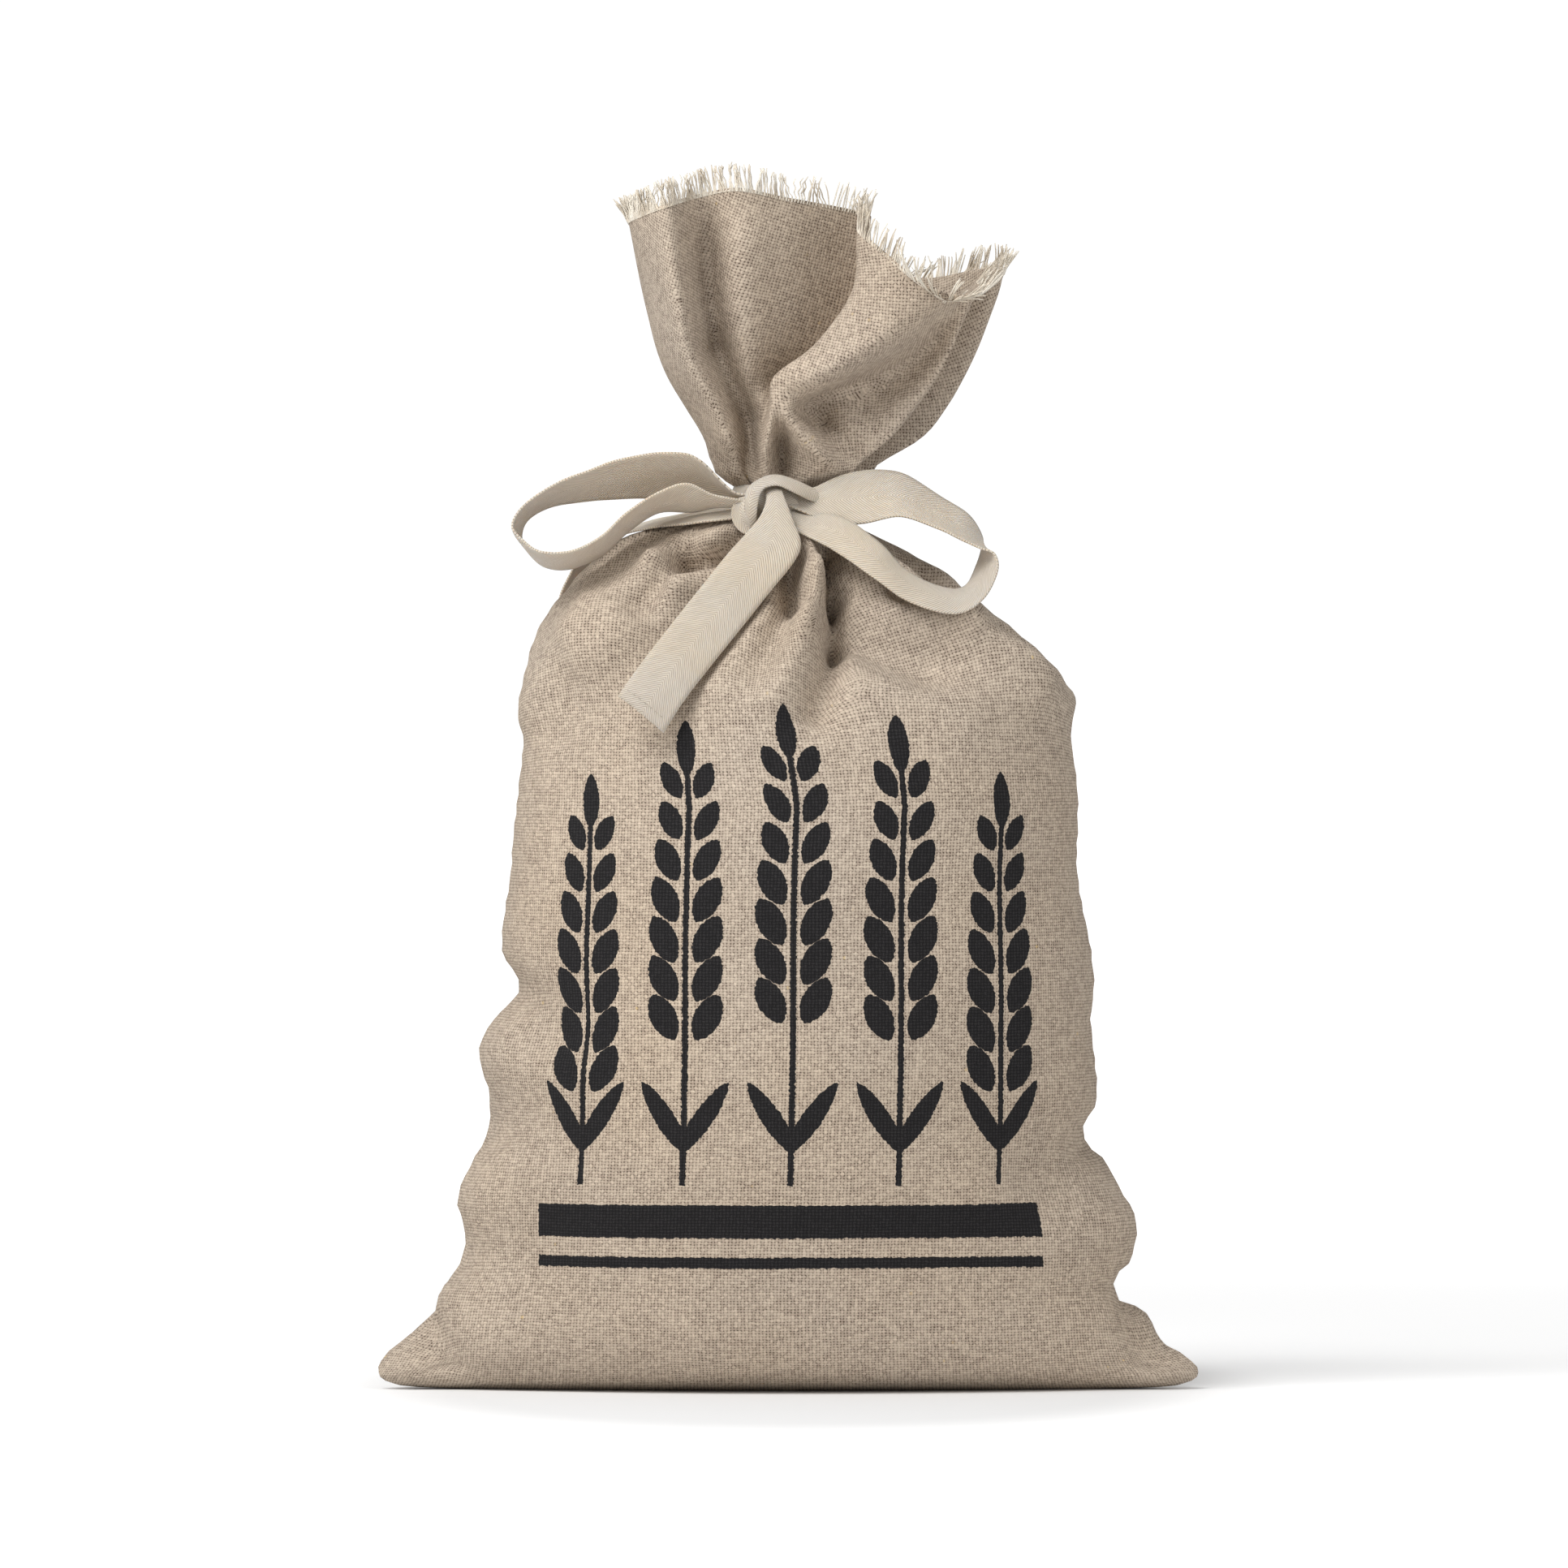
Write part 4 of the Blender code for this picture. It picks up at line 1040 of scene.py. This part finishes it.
# the turn of tape round the neck, the lump of the knot and the small folds on it
turnRound = dict(radius=12.6, foot=314.6, top=321.6, bulge=1.2, rough=0.7, steps=72, across=8)
knotLump = dict(half=(10.0, 4.6, 6.2), middle=(-6.0, -18.6, 315.4), fold=0.9, wrinkle=0.03, uvScale=0.03)
knotFolds = (
    ("knotFoldLeft", ((-7, -16, 321, -12, -15, 317), (-10, -21, 322, -17, -20, 317), (-13.5, -24, 319, -20, -22, 313.5),
                      (-15.5, -26, 314, -20, -22.5, 309), (-14, -27, 309, -17, -24, 305),
                      (-10.5, -27.5, 306.5, -12, -25.5, 303.5), (-7, -26, 306, -8, -24, 303.5))),
    ("knotFoldMiddle", ((-11, -21, 304.5, -13.5, -19, 306), (-11, -26.5, 307, -14, -25, 308.5),
                        (-11.2, -28.8, 312, -15, -26.8, 313.5), (-10.5, -29, 317, -14.5, -26.5, 320),
                        (-8.5, -28.6, 320.6, -9.5, -22, 324), (-4, -28.2, 321.5, -4.5, -20, 325),
                        (0.5, -27.0, 319.6, 1.5, -19, 323.2), (4.5, -24.6, 317.6, 6, -17.5, 321.4),
                        (8.5, -20.5, 315.8, 10, -15, 319.5), (12.5, -16, 314.5, 13, -12, 317.5))),
)


def addTurn(material):
    v, neck = turnRound, bagCloth["neckX"]
    turn = 2 * pi * np.arange(v["steps"] + 1) / v["steps"]
    rows = []
    for share in np.linspace(0, 1, v["across"] + 1):
        out = v["radius"] + v["bulge"] * 4 * share * (1 - share)
        height = v["foot"] + (v["top"] - v["foot"]) * share
        rows.append(np.stack([neck - out * np.cos(turn), -out * np.sin(turn), np.full(turn.shape, height)], -1))
    points = np.stack(rows)
    middle = np.array([neck, 0.0, 0.0])
    away = points - middle
    away[..., 2] = 0
    away /= np.linalg.norm(away, axis=-1, keepdims=True)
    points += away * (v["rough"] * np.abs(softNoise(points, 5.0, 4.0)))[..., None]
    points[:, -1] = points[:, 0]

    def uvOf(row, column, _):
        return row / v["across"] * bowTape["width"] * mm, column / v["steps"] * 2 * pi * v["radius"] * mm

    bm = gridOn(points, uvOf, "tape")
    bmesh.ops.remove_doubles(bm, verts=bm.verts, dist=0.00002)
    faceOutwards(bm)
    band = finished("tapeTurn", bm, material)
    addThickness(band, bowTape["thickness"], 0.0)
    return band


def addKnot(material):
    v = knotLump
    bm = bmesh.new()
    bm.loops.layers.uv.new("tape")
    bmesh.ops.create_uvsphere(bm, u_segments=40, v_segments=24, radius=1.0, calc_uvs=True)
    for vert in bm.verts:
        slant = vert.co.x * 5.5 + vert.co.z * 3.5
        vert.co *= 1 + 0.05 * v["fold"] * sin(slant * 1.7) + v["wrinkle"] * sin(slant * 4.1 + 1.0)
    bmesh.ops.scale(bm, vec=v["half"], verts=bm.verts)
    bmesh.ops.translate(bm, vec=v["middle"], verts=bm.verts)
    bmesh.ops.scale(bm, vec=(mm, mm, mm), verts=bm.verts)
    layer = bm.loops.layers.uv.active
    for face in bm.faces:
        for loop in face.loops:
            loop[layer].uv *= v["uvScale"]
    return finished("tapeKnot", bm, material)


# floor, light and camera

studio = dict(
    cameraAway=6.0, cameraUp=0.6, lens=386.5, aim=(-0.0016, 0.0, 0.2152),
    air=0.40, behind=1.05, floor=(0.86, 0.86, 0.86, 1), floorDull=(0.84, 0.84, 0.84, 1), floorSize=60.0,
    nearGlow=0.34, farGlow=0.90, glowFrom=0.5, glowTo=2.2,
    paintedShadowShape=(1.3, 0.6, 1.0), paintedShadowFrom=0.15, paintedShadowTo=0.24,  # how far the foot's shadow reaches
    lamps=(
        # name, place, aim, size, power, colour
        ("softTop", (-0.70, -0.85, 1.6), (0, 0, 0.2), (1.1, 0.9), 25, (1, 1, 1)),
        ("softLeft", (-1.6, -1.3, 0.8), (0, 0, 0.2), (1.0, 1.2), 7, (1, 1, 1)),
        ("softRight", (1.7, -1.3, 0.6), (0, 0, 0.2), (1.0, 1.2), 10, (1, 1, 1)),
        ("softLow", (-1.2, -1.5, 0.08), (-0.05, 0, 0.30), (0.9, 0.5), 4.5, (1.0, 0.95, 0.88)),
    ),
)


def makeStage():
    v = studio
    bm = bmesh.new()
    bmesh.ops.create_grid(bm, x_segments=1, y_segments=1, size=v["floorSize"])
    material, tree, shader = newMaterial("paleFloor")
    spot = addNode(tree, "ShaderNodeTexCoord").outputs["Object"]
    away = addNode(tree, "ShaderNodeVectorMath", operation="LENGTH")
    feed(tree, away.inputs[0], spot)
    cloud = remap(tree, noiseOf(tree, spot, 1.3), 0.3, 0.7)
    feed(tree, shader.inputs["Base Color"], mixColour(tree, cloud, v["floor"], v["floorDull"]))
    # painted glow: the camera sees the floor paler than it lights the bag, most where the lamps no longer reach
    paintedGlow = remap(tree, away.outputs["Value"], v["glowFrom"], v["glowTo"], v["nearGlow"], v["farGlow"])
    # the painted glow is left off in an oval round the bag's foot, so the floor's rendered shade shows there, and the
    # oval's soft edge paints the outline of the foot's shadow
    near = addNode(tree, "ShaderNodeVectorMath", operation="MULTIPLY")
    feed(tree, near.inputs[0], spot)
    near.inputs[1].default_value = v["paintedShadowShape"]
    foot = addNode(tree, "ShaderNodeVectorMath", operation="LENGTH")
    feed(tree, foot.inputs[0], near.outputs[0])
    paintedGlow = times(tree, paintedGlow, remap(tree, foot.outputs["Value"], v["paintedShadowFrom"], v["paintedShadowTo"]))
    feed(tree, shader.inputs["Emission Color"], joinVector(tree, paintedGlow, paintedGlow, paintedGlow))
    feed(tree, shader.inputs["Emission Strength"], addNode(tree, "ShaderNodeLightPath").outputs["Is Camera Ray"])
    shader.inputs["Roughness"].default_value = 0.9
    shader.inputs["Specular IOR Level"].default_value = 0.1
    floor = finished("floor", bm, material)
    world = bpy.data.worlds.new("studioAir")
    world.use_nodes = True
    tree = world.node_tree
    sky = tree.nodes["Background"]
    sky.inputs[0].default_value = (1, 1, 1, 1)
    sky.inputs[1].default_value = v["air"]
    behind = addNode(tree, "ShaderNodeBackground")
    behind.inputs[0].default_value = (1, 1, 1, 1)
    behind.inputs[1].default_value = v["behind"]
    pick = addNode(tree, "ShaderNodeMixShader")
    seen = addNode(tree, "ShaderNodeLightPath")
    tree.links.new(seen.outputs["Is Camera Ray"], pick.inputs[0])
    tree.links.new(sky.outputs[0], pick.inputs[1])
    tree.links.new(behind.outputs[0], pick.inputs[2])
    tree.links.new(pick.outputs[0], tree.nodes["World Output"].inputs[0])
    bpy.context.scene.world = world
    bpy.context.scene.view_settings.view_transform = "Standard"  # colours as they were measured


def addLight(name, place, aim, size, power, colour):
    data = bpy.data.lights.new(name, "AREA")
    data.shape = "RECTANGLE"
    data.size, data.size_y = size
    data.energy = power
    data.color = colour
    lamp = bpy.data.objects.new(name, data)
    lamp.location = place
    lamp.rotation_euler = (Vector(aim) - Vector(place)).to_track_quat("-Z", "Y").to_euler()
    bpy.context.scene.collection.objects.link(lamp)


def makeCamera():
    v = studio
    data = bpy.data.cameras.new("photoCamera")
    data.lens = v["lens"]
    data.sensor_width = 36
    data.clip_end = 50
    camera = bpy.data.objects.new("photoCamera", data)
    aim = Vector(v["aim"])
    up = radians(v["cameraUp"])
    camera.location = aim + Vector((0, -cos(up), sin(up))) * v["cameraAway"]
    camera.rotation_euler = (aim - camera.location).to_track_quat("-Z", "Y").to_euler()
    bpy.context.scene.collection.objects.link(camera)
    bpy.context.scene.camera = camera


# all together

makeCamera()
makeStage()
for lamp in studio["lamps"]:
    addLight(*lamp)
print("stage, lights and camera are set")

weaveGroup, ribGroup, patchGroup = plainWeaveGroup(), herringboneGroup(), patchesGroup()
printedLinen = linenMaterial("printedLinen", weaveGroup, patchGroup)
cotton = tapeMaterial(ribGroup, patchGroup)
looseThread = threadMaterial("looseThread", (0.66, 0.57, 0.45, 1), (0.90, 0.84, 0.73, 1))
sewingThread = threadMaterial("sewingThread", (0.40, 0.35, 0.28, 1), (0.52, 0.46, 0.38, 1))
print("materials are made")

bag = makeBag(printedLinen)
fringe = makeFringe(looseThread)
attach(bag, "root")
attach(fringe, "root")
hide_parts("bag")
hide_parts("fringe")
print("bag cloth and frayed edge are made")

strips = [
    addStrip("bowLoopLeft", leftLoop, cotton),
    addStrip("bowLoopRight", rightLoop, cotton),
    addStrip("tapeTailFront", frontTail, cotton),
    addStrip("tapeTailBack", backTail, cotton),
]
folds = [addStrip(name, rows, cotton, 1.2) for name, rows in knotFolds]
turnBand, knot = addTurn(cotton), addKnot(cotton)
hem = addHem(frontTail, sewingThread)
for piece in (*strips, *folds, turnBand, knot, hem):
    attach(piece, "root")
    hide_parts("tie_tape")
print("bow is tied")
